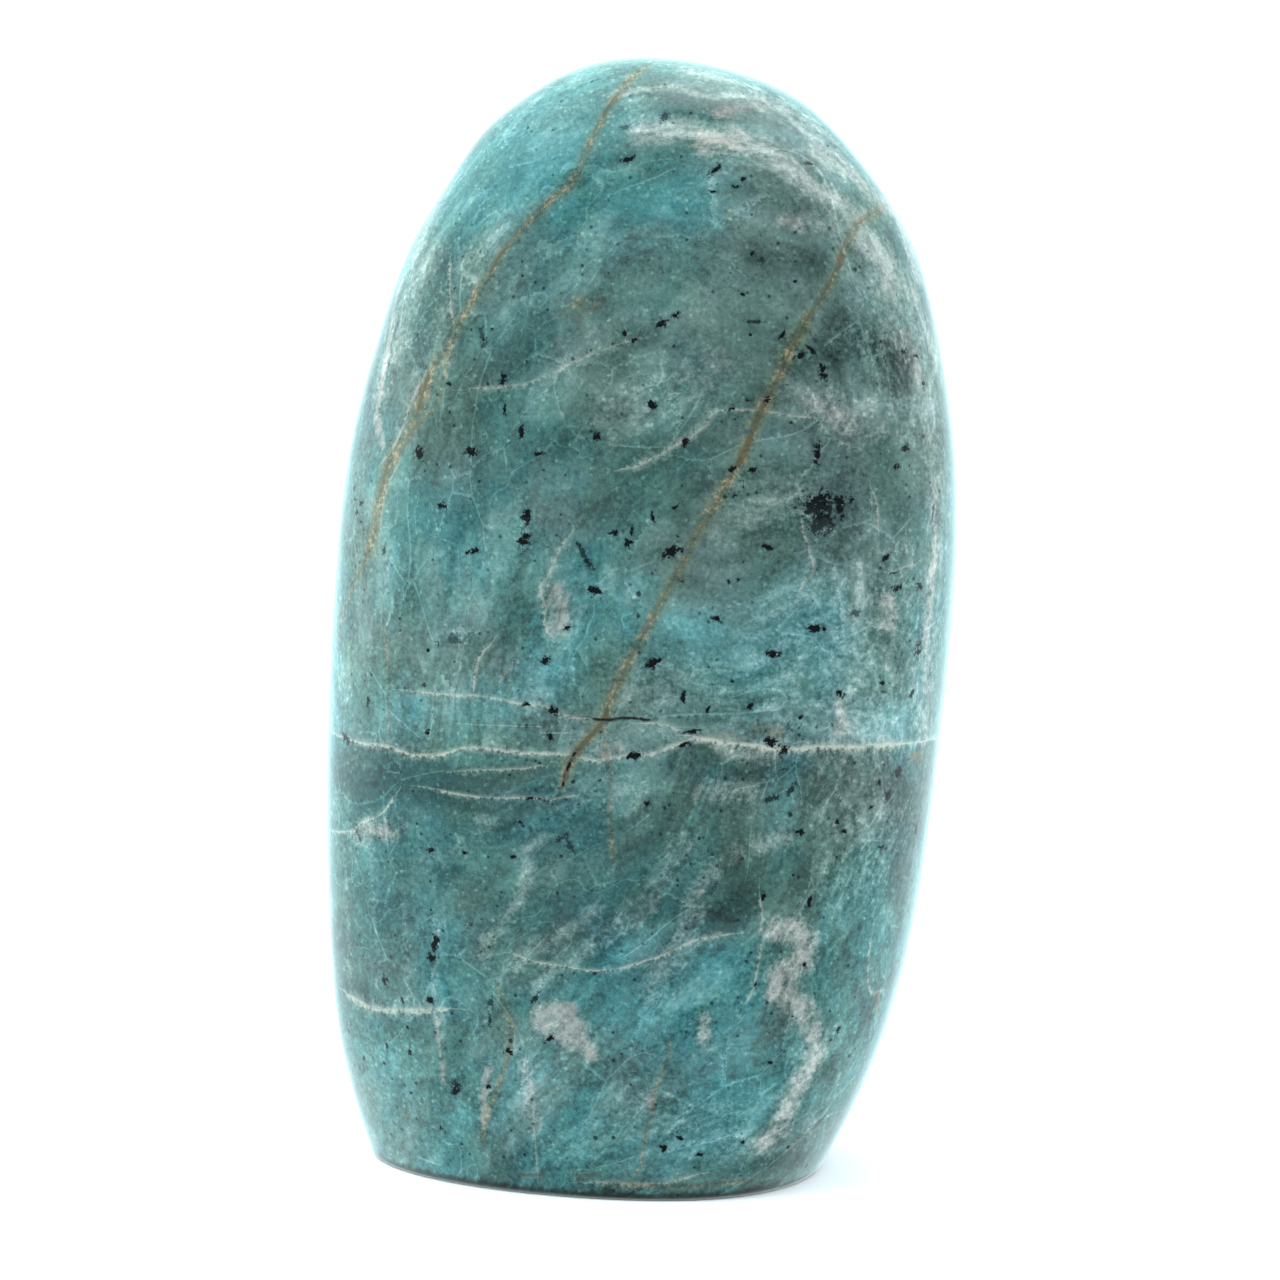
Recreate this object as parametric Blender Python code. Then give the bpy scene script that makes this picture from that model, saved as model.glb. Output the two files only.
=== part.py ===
"""A polished freeform of amazonite, standing on its sawn foot.

The stone is one solid. Its outline is given by how far it reaches left, right, forward and
back at a few heights. Between those heights each reach runs on a smooth curve, and every
horizontal section is a rounded oval through its four reaches. A few broad flats, left by the
grinding wheel, are then shaved off, and the foot is flat so that the stone stands.
All sizes are in millimetres and become metres where the mesh is made. +Z is up and the
display face looks along -Y.
"""

import bmesh
import bpy
import numpy as np

MM = 0.001

HEIGHT = 160.0
# Heights at which the outline is given, with the stone's reach from the vertical through its
# highest point: to the left and right as seen from the front, towards the front, and back.
STATION_HEIGHTS = (0.0, 6.0, 16.0, 30.0, 48.0, 68.0, 88.0, 108.0, 124.0, 136.0, 145.0, 151.5, 156.5)
REACH_LEFT = (40.3, 42.2, 44.7, 46.1, 46.4, 45.8, 44.6, 41.7, 37.1, 32.1, 26.3, 20.8, 13.5)
REACH_RIGHT = (26.0, 29.1, 33.5, 37.7, 40.8, 43.0, 44.5, 43.9, 41.1, 37.0, 31.0, 25.1, 17.0)
REACH_FRONT = (24.0, 24.9, 25.9, 26.7, 27.1, 27.0, 26.0, 24.1, 21.6, 18.8, 15.9, 12.8, 8.9)
REACH_BACK = (22.0, 23.2, 24.6, 26.0, 27.0, 27.0, 25.6, 23.0, 20.2, 17.4, 14.6, 11.7, 8.1)
# Radius of the rounding over the top, seen in each of the four directions.
TOP_RADIUS_LEFT = 31.0
TOP_RADIUS_RIGHT = 37.0
TOP_RADIUS_FRONT = 12.0
TOP_RADIUS_BACK = 10.0

# How square the sections are (2 is an ellipse), at the foot, the belly and the top.
SQUARENESS_HEIGHTS = (0.0, 60.0, HEIGHT)
SQUARENESS_LEFT = (1.9, 2.35, 2.15)
SQUARENESS_RIGHT = (2.3, 2.4, 2.2)

SECTION_TURN_DEG = -8.0  # the broad face is turned a little, its right end towards the front
FOOT_ROUNDING = 0.8  # radius of the eased edge round the foot

# Broad flats left by grinding: the direction each one faces, and how deep it was shaved.
GRINDING_FLATS = (
    ((-0.12, -1.00, 0.04), 0.7),
    ((0.20, 1.00, 0.16), 1.5),
    ((-0.28, 1.00, -0.04), 1.2),
    ((0.62, 0.90, 0.05), 0.9),
    ((-0.70, 0.90, 0.12), 1.0),
)
FLAT_SOFTNESS = 0.35  # how gradually a flat runs out into the round

COLUMNS = 64
FOOT_RINGS = 3
BODY_RINGS = 50
SHARP_EDGE_DEG = 40.0  # faces that meet at more than this are shaded with a crisp edge

STONE_COLOUR = (0.13, 0.33, 0.33, 1.0)
STONE_ROUGHNESS = 0.18


def smooth_curve(knots, values, at):
    """Values at the places in at of the natural cubic curve through the knots."""
    knots, values = np.asarray(knots, float), np.asarray(values, float)
    gaps = np.diff(knots)
    slopes = np.diff(values) / gaps
    system = np.eye(len(knots))
    bends = np.zeros(len(knots))
    for i in range(1, len(knots) - 1):
        system[i, i - 1 : i + 2] = gaps[i - 1], 2 * (gaps[i - 1] + gaps[i]), gaps[i]
        bends[i] = 6 * (slopes[i] - slopes[i - 1])
    bends = np.linalg.solve(system, bends)
    span = np.clip(np.searchsorted(knots, at) - 1, 0, len(gaps) - 1)
    gap = gaps[span]
    before = (knots[span + 1] - at) / gap
    after = (at - knots[span]) / gap
    bow = (before**3 - before) * bends[span] + (after**3 - after) * bends[span + 1]
    return before * values[span] + after * values[span + 1] + bow * gap**2 / 6


def dome(height):
    """Share of the width left at a height on a plain round dome of this stone's height."""
    return np.sqrt(np.clip(1 - (height / HEIGHT) ** 2, 0, 1))


def reach(stations, top_radius, height):
    """Reach at each height: the stations' values, closing over the top with top_radius."""
    fullness = np.array(stations) / dome(np.array(STATION_HEIGHTS))
    fullness = np.append(fullness, np.sqrt(top_radius * HEIGHT))
    return smooth_curve((*STATION_HEIGHTS, HEIGHT), fullness, height) * dome(height)


def ring_heights():
    """Heights of the rings: close together round the foot's edge and over the top."""
    foot = FOOT_ROUNDING * (1 - np.cos(np.linspace(0, np.pi / 2, FOOT_RINGS)))
    start = np.arcsin(foot[-1] / HEIGHT)
    body = HEIGHT * np.sin(np.linspace(start, np.pi / 2, BODY_RINGS + 2)[1:-1])
    return np.concatenate([foot, body])


def foot_inset(height):
    """How far the eased edge of the foot draws a ring in."""
    below = np.clip(FOOT_ROUNDING - height, 0, None)
    return FOOT_ROUNDING - np.sqrt(FOOT_ROUNDING**2 - below**2)


def sections(height):
    """Points of each ring, as an array of rings by columns by (x, y, z)."""
    inset = foot_inset(height)
    left, right, front, back = (
        (reach(stations, radius, height) - inset)[:, None]
        for stations, radius in (
            (REACH_LEFT, TOP_RADIUS_LEFT),
            (REACH_RIGHT, TOP_RADIUS_RIGHT),
            (REACH_FRONT, TOP_RADIUS_FRONT),
            (REACH_BACK, TOP_RADIUS_BACK),
        )
    )
    angle = np.linspace(0, 2 * np.pi, COLUMNS, endpoint=False)
    across, along = np.cos(angle), np.sin(angle)
    power = np.where(
        across >= 0,
        np.interp(height, SQUARENESS_HEIGHTS, SQUARENESS_RIGHT)[:, None],
        np.interp(height, SQUARENESS_HEIGHTS, SQUARENESS_LEFT)[:, None],
    )
    sideways = np.abs(across / np.where(across >= 0, right, left)) ** power
    endways = np.abs(along / np.where(along >= 0, back, front)) ** power
    radius = (sideways + endways) ** (-1 / power)
    x, y = radius * across, radius * along
    turn = np.radians(SECTION_TURN_DEG)
    return np.stack(
        [
            x * np.cos(turn) - y * np.sin(turn),
            x * np.sin(turn) + y * np.cos(turn),
            np.broadcast_to(height[:, None], x.shape),
        ],
        axis=-1,
    )


def shave(points):
    """The points with each grinding flat cut: what lies past its plane is drawn back to it."""
    middle = np.array([0.0, 0.0, HEIGHT / 2])
    for facing, depth in GRINDING_FLATS:
        facing = np.array(facing) / np.linalg.norm(facing)
        height_over = (points - middle) @ facing
        past = (height_over - (height_over.max() - depth)) / FLAT_SOFTNESS
        cut = FLAT_SOFTNESS * np.logaddexp(0, past)
        sideways = facing * (1, 1, 0)
        points = points - cut[..., None] * sideways / (sideways @ facing)
    return points


def stone_mesh():
    """The closed mesh of the stone in metres, its bounding box centred over the origin."""
    rings = shave(sections(ring_heights()))
    low = rings.reshape(-1, 3).min(axis=0)
    high = rings.reshape(-1, 3).max(axis=0)
    centre = (low + high) / 2 * (1, 1, 0)
    rings = (rings - centre) * MM
    shape = bmesh.new()
    loops = [[shape.verts.new(point) for point in ring] for ring in rings]
    for lower, upper in zip(loops, loops[1:]):
        for i in range(COLUMNS):
            j = (i + 1) % COLUMNS
            shape.faces.new((lower[i], lower[j], upper[j], upper[i]))
    top_middle = rings[-1].mean(axis=0)
    apex = shape.verts.new((top_middle[0], top_middle[1], HEIGHT * MM))
    for i in range(COLUMNS):
        shape.faces.new((loops[-1][i], loops[-1][(i + 1) % COLUMNS], apex))
    shape.faces.new(list(reversed(loops[0])))
    mesh = bpy.data.meshes.new("amazonite_stone")
    shape.to_mesh(mesh)
    shape.free()
    mesh.shade_smooth()
    mesh.set_sharp_from_angle(angle=np.radians(SHARP_EDGE_DEG))
    return mesh


def stone_material():
    """Polished blue-green feldspar in one plain colour."""
    material = bpy.data.materials.new("polished_amazonite")
    material.use_nodes = True
    surface = material.node_tree.nodes["Principled BSDF"]
    surface.inputs["Base Color"].default_value = STONE_COLOUR
    surface.inputs["Roughness"].default_value = STONE_ROUGHNESS
    surface.inputs["Metallic"].default_value = 0.0
    return material


def main():
    """Clears the scene and adds the stone."""
    for obj in list(bpy.data.objects):
        bpy.data.objects.remove(obj)
    stone = bpy.data.objects.new("amazonite_stone", stone_mesh())
    stone.data.materials.append(stone_material())
    bpy.context.scene.collection.objects.link(stone)


main()
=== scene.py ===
"""Looks of a polished amazonite freeform that stands on its sawn foot.

The stone is one fine mesh over the CAD solid. Its markings are listed: each vein, crack,
band and fleck is a short route of points, given where it is seen in a picture of the stone's
front or back. Every route is seated on the surface, and numpy works out how far each vertex
lies from it. The material turns those distances into colour and breaks their edges up with
noise that follows the grain of the stone.
"""

import functools
import logging
from dataclasses import dataclass, field
from enum import Enum

import bpy
import numpy as np
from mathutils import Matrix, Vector
from mathutils.bvhtree import BVHTree

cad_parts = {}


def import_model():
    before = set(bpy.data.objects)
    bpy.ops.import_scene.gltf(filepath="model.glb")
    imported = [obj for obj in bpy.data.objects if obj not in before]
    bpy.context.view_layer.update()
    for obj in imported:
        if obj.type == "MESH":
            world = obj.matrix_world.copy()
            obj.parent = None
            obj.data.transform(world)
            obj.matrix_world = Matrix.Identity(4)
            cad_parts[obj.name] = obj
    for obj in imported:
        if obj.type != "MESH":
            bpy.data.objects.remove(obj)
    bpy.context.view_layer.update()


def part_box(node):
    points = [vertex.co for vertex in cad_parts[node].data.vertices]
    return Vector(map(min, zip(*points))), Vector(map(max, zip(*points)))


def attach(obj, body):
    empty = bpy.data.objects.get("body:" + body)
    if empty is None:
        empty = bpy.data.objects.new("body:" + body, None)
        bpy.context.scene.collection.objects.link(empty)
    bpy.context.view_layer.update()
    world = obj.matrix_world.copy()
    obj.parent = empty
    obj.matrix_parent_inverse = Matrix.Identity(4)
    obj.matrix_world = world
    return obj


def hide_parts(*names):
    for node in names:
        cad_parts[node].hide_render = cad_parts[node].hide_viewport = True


LOG = logging.getLogger("amazonite")

MM = 0.001
NODE = "amazonite_stone"
PICTURE_SIDE = 1280.0
FLECK_LAYERS = 4
HALF = 0.5
TINY = 1e-9

Pair = tuple[float, float]
Triple = tuple[float, float, float]
Route = tuple[Pair, ...]


class View(Enum):
    """The picture that a marking's points are given in, by the camera's turn in half circles."""

    FRONT = 0
    BACK = 1


class Tone(Enum):
    """A broad change of colour that a band or patch makes: mostly the stone's own, but a few pale and bright
    bands are painted highlight, painted sheen and painted light.
    """

    PALE = "pale"
    DARK = "dark"
    BRIGHT = "bright"
    GREY = "grey"
    PINK = "pink"
    STAIN = "stain"


class Seam(Enum):
    """What a thin line on the stone is made of, and how many layers such lines are kept in."""

    WHITE = ("white_seam", 3)
    OCHRE = ("ochre_seam", 2)
    RUST = ("rust_seam", 1)
    CRACK = ("open_crack", 1)

    def layers(self) -> list[str]:
        """Names of the mesh fields that hold this kind's lines."""
        return [f"{self.value[0]}_{layer}" for layer in range(self.value[1])]


@dataclass(frozen=True)
class Band:
    """A band or patch: its tone, its middle line in picture pixels, and its half width."""

    tone: Tone
    half_width: float
    strength: float
    route: Route
    view: View = View.FRONT


@dataclass(frozen=True)
class Line:
    """A thin seam: its kind, its half width in millimetres, its strength and its route."""

    seam: Seam
    half_width: float
    strength: float
    route: Route
    view: View = View.FRONT


@dataclass(frozen=True)
class Fleck:
    """A dark mineral fleck: place, half length and half width in pixels, turn, and darkness."""

    x: float
    y: float
    half_length: float
    half_width: float
    turn: float
    darkness: float = 1.0
    view: View = View.FRONT


# Each row is a Band without its tone: half width in pixels, strength, route, and the view if it
# isn't the front.
BAND_ROWS: dict[Tone, tuple] = {
    Tone.PALE: (
        (5, 1.0, ((614, 95), (650, 88), (677, 88), (707, 96), (752, 97), (785, 115), (808, 134),
         (835, 143))),
        (13, 1.1, ((640, 133), (684, 130), (715, 140), (752, 146), (780, 161), (808, 185), (840, 203),
         (862, 218))),
        (13, 1.2, ((818, 152), (849, 171), (872, 194), (895, 214), (908, 245), (916, 274))),
        (10, 0.8, ((805, 214), (830, 228), (850, 244))),
        # Painted sheen and painted highlight: these two pale bands stand in for the lights' reflection on the
        # upper right shoulder.
        (16, 1.3, ((862, 236), (875, 248), (886, 262), (890, 290))),
        (6, 2.0, ((873, 246), (877, 256))),
        (14, 0.9, ((900, 280), (918, 305), (930, 340), (938, 372))),
        (14, 0.8, ((690, 72), (750, 88), (800, 118), (836, 150))),
        (15, 0.6, ((458, 168), (428, 226), (404, 296), (389, 350), (377, 410))),
        (10, 0.6, ((420, 330), (448, 344), (440, 372))),
        (30, 0.45, ((870, 320), (890, 370), (905, 420))),
        (16, 0.6, ((790, 395), (840, 405), (880, 425))),
        (30, 0.4, ((900, 560), (910, 640), (905, 700))),
        (30, 0.35, ((850, 640), (860, 700), (850, 735))),
        (22, 0.6, ((905, 290), (922, 350), (932, 430), (938, 500), (936, 570), (930, 650), (922, 730))),
        (18, 0.7, ((818, 398), (850, 430))),
        (30, 0.45, ((610, 420), (660, 385), (720, 370))),
        (22, 0.3, ((540, 372), (600, 335), (640, 320))),
        (7, 0.7, ((712, 412), (684, 440), (636, 465))),
        (28, 0.65, ((735, 515), (770, 495), (795, 500))),
        (7, 1.0, ((722, 747), (742, 756), (770, 750))),
        (12, 0.8, ((704, 792), (750, 790))),
        (7, 1.0, ((724, 752), (748, 756), (774, 753))),
        (15, 0.55, ((775, 930), (796, 931), (805, 943), (801, 961), (783, 974), (779, 987), (792, 1000),
         (805, 1017), (814, 1039), (812, 1061), (801, 1083), (788, 1105), (779, 1126), (762, 1144))),
        (26, 0.75, ((396, 350), (408, 300), (428, 256))),
        (20, 0.7, ((808, 186), (832, 206), (856, 232))),
        (26, 0.6, ((872, 262), (890, 300), (902, 350))),
        (28, 0.5, ((888, 590), (892, 640))),
        (30, 0.45, ((640, 690), (700, 680), (740, 700))),
        (12, 0.3, ((850, 1060), (831, 1092), (814, 1126), (783, 1153), (772, 1166))),
        (12, 0.6, ((650, 1000), (662, 978), (690, 945))),
        (9, 0.6, ((703, 1018), (706, 1044))),
        (10, 0.65, ((482, 951), (493, 933), (509, 913), (526, 882), (526, 856), (539, 834))),
        (10, 0.6, ((513, 974), (526, 952), (557, 939), (587, 917), (600, 908))),
        (10, 0.6, ((535, 987), (548, 974), (578, 956), (609, 935), (644, 913), (664, 880), (687, 838))),
        (8, 0.5, ((603, 930), (632, 906), (656, 882), (674, 839))),
        (11, 0.75, ((650, 991), (657, 974), (672, 952), (683, 935), (692, 913), (700, 887), (718, 865),
         (744, 848), (784, 840))),
        (16, 0.5, ((560, 806), (600, 796), (632, 802))),
        (16, 0.4, ((430, 860), (452, 850), (500, 800))),
        (18, 0.6, ((356, 832), (392, 830))),
        # Partly paler stone, partly painted light: these two broad bands brighten the right flank where it is
        # lit more strongly.
        (60, 0.5, ((850, 600), (866, 690), (860, 770), (866, 850))),
        (40, 0.5, ((800, 630), (780, 690), (780, 730))),
        (34, 0.4, ((640, 1110), (720, 1130))),
        (4, 0.5, ((345, 850), (350, 990))),
        (4, 0.5, ((372, 860), (378, 985))),
        (4, 0.5, ((404, 900), (408, 1000))),
        (4, 0.5, ((436, 930), (434, 1000))),
        (18, 0.5, ((500, 228), (452, 290), (432, 350), (418, 400))),
        (22, 0.6, ((402, 350), (470, 270), (560, 226), (660, 236), (740, 290), (800, 380)), View.BACK),
        (18, 0.54, ((452, 440), (520, 368), (600, 336), (680, 366), (730, 430)), View.BACK),
        (16, 0.6, ((380, 830), (412, 900), (432, 980), (440, 1060)), View.BACK),
        (12, 0.6, ((548, 1010), (606, 966), (660, 902), (706, 830)), View.BACK),
        (12, 0.54, ((612, 1046), (676, 990), (738, 924), (776, 860)), View.BACK),
        (22, 0.48, ((866, 860), (862, 950), (838, 1040)), View.BACK),
        (19, 0.54, ((520, 776), (580, 788), (650, 786)), View.BACK),
    ),
    Tone.DARK: (
        (26, 1.3, ((800, 350), (850, 342), (896, 360))),
        (15, 0.9, ((872, 378), (900, 384))),
        (15, 0.7, ((735, 190), (765, 196), (800, 208))),
        (15, 0.7, ((757, 252), (816, 262))),
        (9, 0.7, ((798, 302), (810, 318))),
        (20, 0.8, ((848, 428), (876, 436))),
        (18, 0.4, ((890, 460), (902, 530))),
        (12, 0.6, ((665, 106), (692, 112), (722, 116))),
        (12, 0.6, ((650, 772), (690, 757), (716, 748))),
        (14, 0.6, ((745, 774), (804, 770))),
        (14, 0.7, ((690, 915), (712, 878), (752, 838))),
        (20, 0.7, ((722, 915), (750, 890))),
        (30, 0.45, ((345, 780), (400, 788), (470, 792), (555, 792))),
        (18, 0.4, ((590, 840), (660, 808))),
        (46, 0.6, ((400, 860), (440, 840), (500, 820))),
        (50, 0.3, ((500, 880), (560, 850), (640, 830))),
        (20, 0.4, ((810, 785), (860, 785), (905, 790))),
        (14, 0.5, ((482, 340), (520, 372))),
        (26, 0.45, ((600, 500), (650, 470), (700, 440))),
        (10, 0.6, ((700, 1168), (800, 1160))),
        (70, 0.35, ((440, 320), (440, 400), (450, 480))),
        (40, 0.6, ((500, 385), (560, 345), (640, 335))),
        (30, 0.4, ((500, 450), (560, 440), (650, 455))),
        (34, 0.4, ((705, 500), (690, 560), (650, 580))),
        (45, 0.5, ((440, 230), (500, 190), (560, 180), (640, 178))),
        (40, 0.35, ((735, 340), (745, 400))),
        (45, 0.6, ((570, 975), (630, 935), (655, 910))),
        (26, 0.5, ((750, 880), (790, 870))),
        (29, 0.8, ((530, 470), (596, 492), (640, 540)), View.BACK),
        (26, 0.72, ((760, 590), (806, 640)), View.BACK),
        (26, 0.72, ((392, 792), (470, 806), (548, 800)), View.BACK),
        (26, 0.64, ((640, 800), (704, 792), (770, 796)), View.BACK),
        (19, 0.72, ((480, 206), (530, 182)), View.BACK),
        (29, 0.56, ((712, 1070), (760, 1004)), View.BACK),
    ),
    Tone.BRIGHT: (
        (34, 1.0, ((690, 965), (722, 990), (735, 1040))),
        # Partly bright turquoise stone, partly painted light: this band lightens the upper left of the dome
        # where light from above falls.
        (44, 1.4, ((470, 200), (520, 150), (590, 104))),
        (20, 1.0, ((566, 208), (584, 216))),
        (34, 1.0, ((600, 226), (660, 204), (720, 190))),
        (5, 1.6, ((912, 744), (917, 744))),
        (38, 0.6, ((640, 600), (700, 640), (790, 700))),
        (24, 0.8, ((870, 720), (896, 722))),
        (50, 0.4, ((850, 900), (850, 980), (830, 1040))),
        (28, 0.9, ((400, 705), (520, 690), (560, 640))),
        (50, 0.6, ((370, 1040), (390, 1090), (400, 1130))),
        (60, 0.8, ((640, 990), (690, 1030), (700, 1080), (720, 1120))),
        (50, 0.9, ((520, 1100), (560, 1110), (640, 1140), (740, 1130))),
        (50, 0.5, ((770, 580), (820, 630), (820, 690))),
        (30, 0.7, ((336, 600), (334, 660), (336, 730))),
        (32, 1.0, ((492, 704), (560, 676)), View.BACK),
        (36, 1.0, ((700, 690), (764, 716)), View.BACK),
        (38, 1.0, ((590, 1086), (680, 1104)), View.BACK),
        (28, 1.0, ((650, 130), (706, 168)), View.BACK),
    ),
    Tone.GREY: (
        (24, 1.4, ((800, 350), (850, 342), (896, 360))),
        (80, 1.5, ((770, 250), (815, 310), (850, 390), (850, 470))),
        (40, 1.2, ((736, 430), (760, 500), (700, 560))),
        (34, 1.0, ((380, 350), (420, 420), (470, 440))),
        (34, 1.0, ((380, 640), (430, 680), (470, 660))),
        (34, 0.9, ((500, 1030), (540, 1060), (520, 1110))),
        (30, 0.9, ((560, 880), (560, 930), (520, 970))),
        (34, 0.9, ((560, 720), (640, 722), (740, 740), (800, 735), (860, 730))),
        (55, 0.8, ((600, 400), (660, 360), (720, 330))),
        (45, 0.8, ((690, 430), (740, 500), (780, 530))),
        (50, 0.6, ((480, 290), (560, 270), (640, 250))),
        (26, 0.4, ((350, 775), (450, 780), (560, 780), (650, 775))),
        (40, 0.7, ((700, 800), (760, 800), (860, 800))),
        (40, 0.6, ((480, 360), (520, 420), (520, 470))),
        (60, 1.0, ((610, 430), (660, 520), (700, 570)), View.BACK),
        (50, 1.0, ((410, 640), (480, 700)), View.BACK),
        (52, 0.9, ((800, 850), (842, 930)), View.BACK),
    ),
    Tone.PINK: (
        (14, 1.0, ((706, 142), (738, 140))),
        (10, 0.8, ((722, 112), (762, 104))),
        (10, 0.9, ((908, 335), (920, 380))),
        (15, 0.8, ((820, 402), (848, 424))),
        (7, 0.9, ((935, 480), (935, 540), (930, 604), (926, 640), (927, 690))),
        (13, 0.9, ((886, 602), (890, 622))),
        (14, 0.95, ((775, 930), (796, 931), (805, 943), (801, 961), (783, 974), (779, 987), (792, 1000),
         (805, 1017), (814, 1039), (812, 1061), (801, 1083), (788, 1105), (779, 1126), (762, 1144))),
        (9, 0.8, ((841, 702), (841, 735))),
        (12, 0.9, ((553, 592), (561, 610), (558, 628))),
        (8, 1.2, ((540, 1012), (556, 1008), (570, 1012))),
        (13, 1.2, ((560, 1014), (568, 1022), (574, 1030))),
        (12, 1.0, ((542, 1022), (556, 1028), (572, 1040))),
        (7, 1.2, ((572, 1018), (581, 1036), (591, 1056))),
        (8, 0.6, ((523, 1062), (530, 1095), (534, 1126))),
        (6, 0.9, ((488, 1068), (484, 1100), (485, 1121))),
        (4, 0.7, ((437, 1018), (444, 1082))),
        (13, 0.8, ((358, 832), (390, 830))),
        (8, 0.8, ((604, 752), (618, 748))),
        (6, 1.0, ((402, 282), (394, 308), (389, 346), (382, 372), (379, 397), (377, 423), (383, 445))),
        (6, 0.8, ((650, 1100), (654, 1112))),
        (8, 0.8, ((703, 1018), (705, 1040))),
        (7, 0.8, ((780, 220), (796, 220))),
        (8, 0.6, ((784, 218), (800, 226))),
        (16, 0.75, ((700, 184), (734, 204)), View.BACK),
        (12, 0.75, ((470, 636), (482, 672)), View.BACK),
        (14, 0.68, ((802, 976), (812, 1012)), View.BACK),
        (11, 0.68, ((552, 876), (584, 892)), View.BACK),
        (11, 0.68, ((860, 424), (870, 474)), View.BACK),
        (8, 0.75, ((430, 1086), (440, 1130)), View.BACK),
    ),
    Tone.STAIN: (
        (4, 0.9, ((877, 993), (878, 1011))),
        (8, 0.7, ((756, 729), (780, 733))),
        (6, 0.5, ((722, 736), (734, 738))),
        (18, 0.5, ((566, 306), (588, 312))),
        (4, 0.7, ((913, 286), (915, 294))),
        (3, 1.0, ((403, 1115), (406, 1115))),
        (5, 1.0, ((912, 756), (920, 757))),
        (8, 0.8, ((556, 762), (590, 766)), View.BACK),
        (14, 0.6, ((520, 300), (540, 312)), View.BACK),
    ),
}
BANDS = tuple(Band(tone, *row) for tone, rows in BAND_ROWS.items() for row in rows)

# The long white seam across the stone, where its grain changes.
MAIN_SEAM = (
    (332, 733), (361, 743), (387, 746), (402, 752), (415, 755), (435, 755), (453, 751), (466, 747), (491, 749),
    (517, 752), (542, 753), (570, 755), (581, 757), (596, 761), (611, 758), (632, 755), (657, 753), (670, 747),
    (683, 742), (699, 738), (720, 742), (743, 744), (789, 749), (817, 747), (845, 747), (875, 745), (901, 744),
    (924, 741), (936, 738),
)
MAIN_SEAM_BEHIND = (
    (346, 738), (372, 741), (401, 750), (440, 746), (476, 752), (508, 763), (549, 770), (590, 766), (628, 772),
    (661, 760), (702, 757), (741, 748), (786, 751), (822, 743), (858, 741), (899, 735), (930, 733), (946, 731),
)

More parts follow.
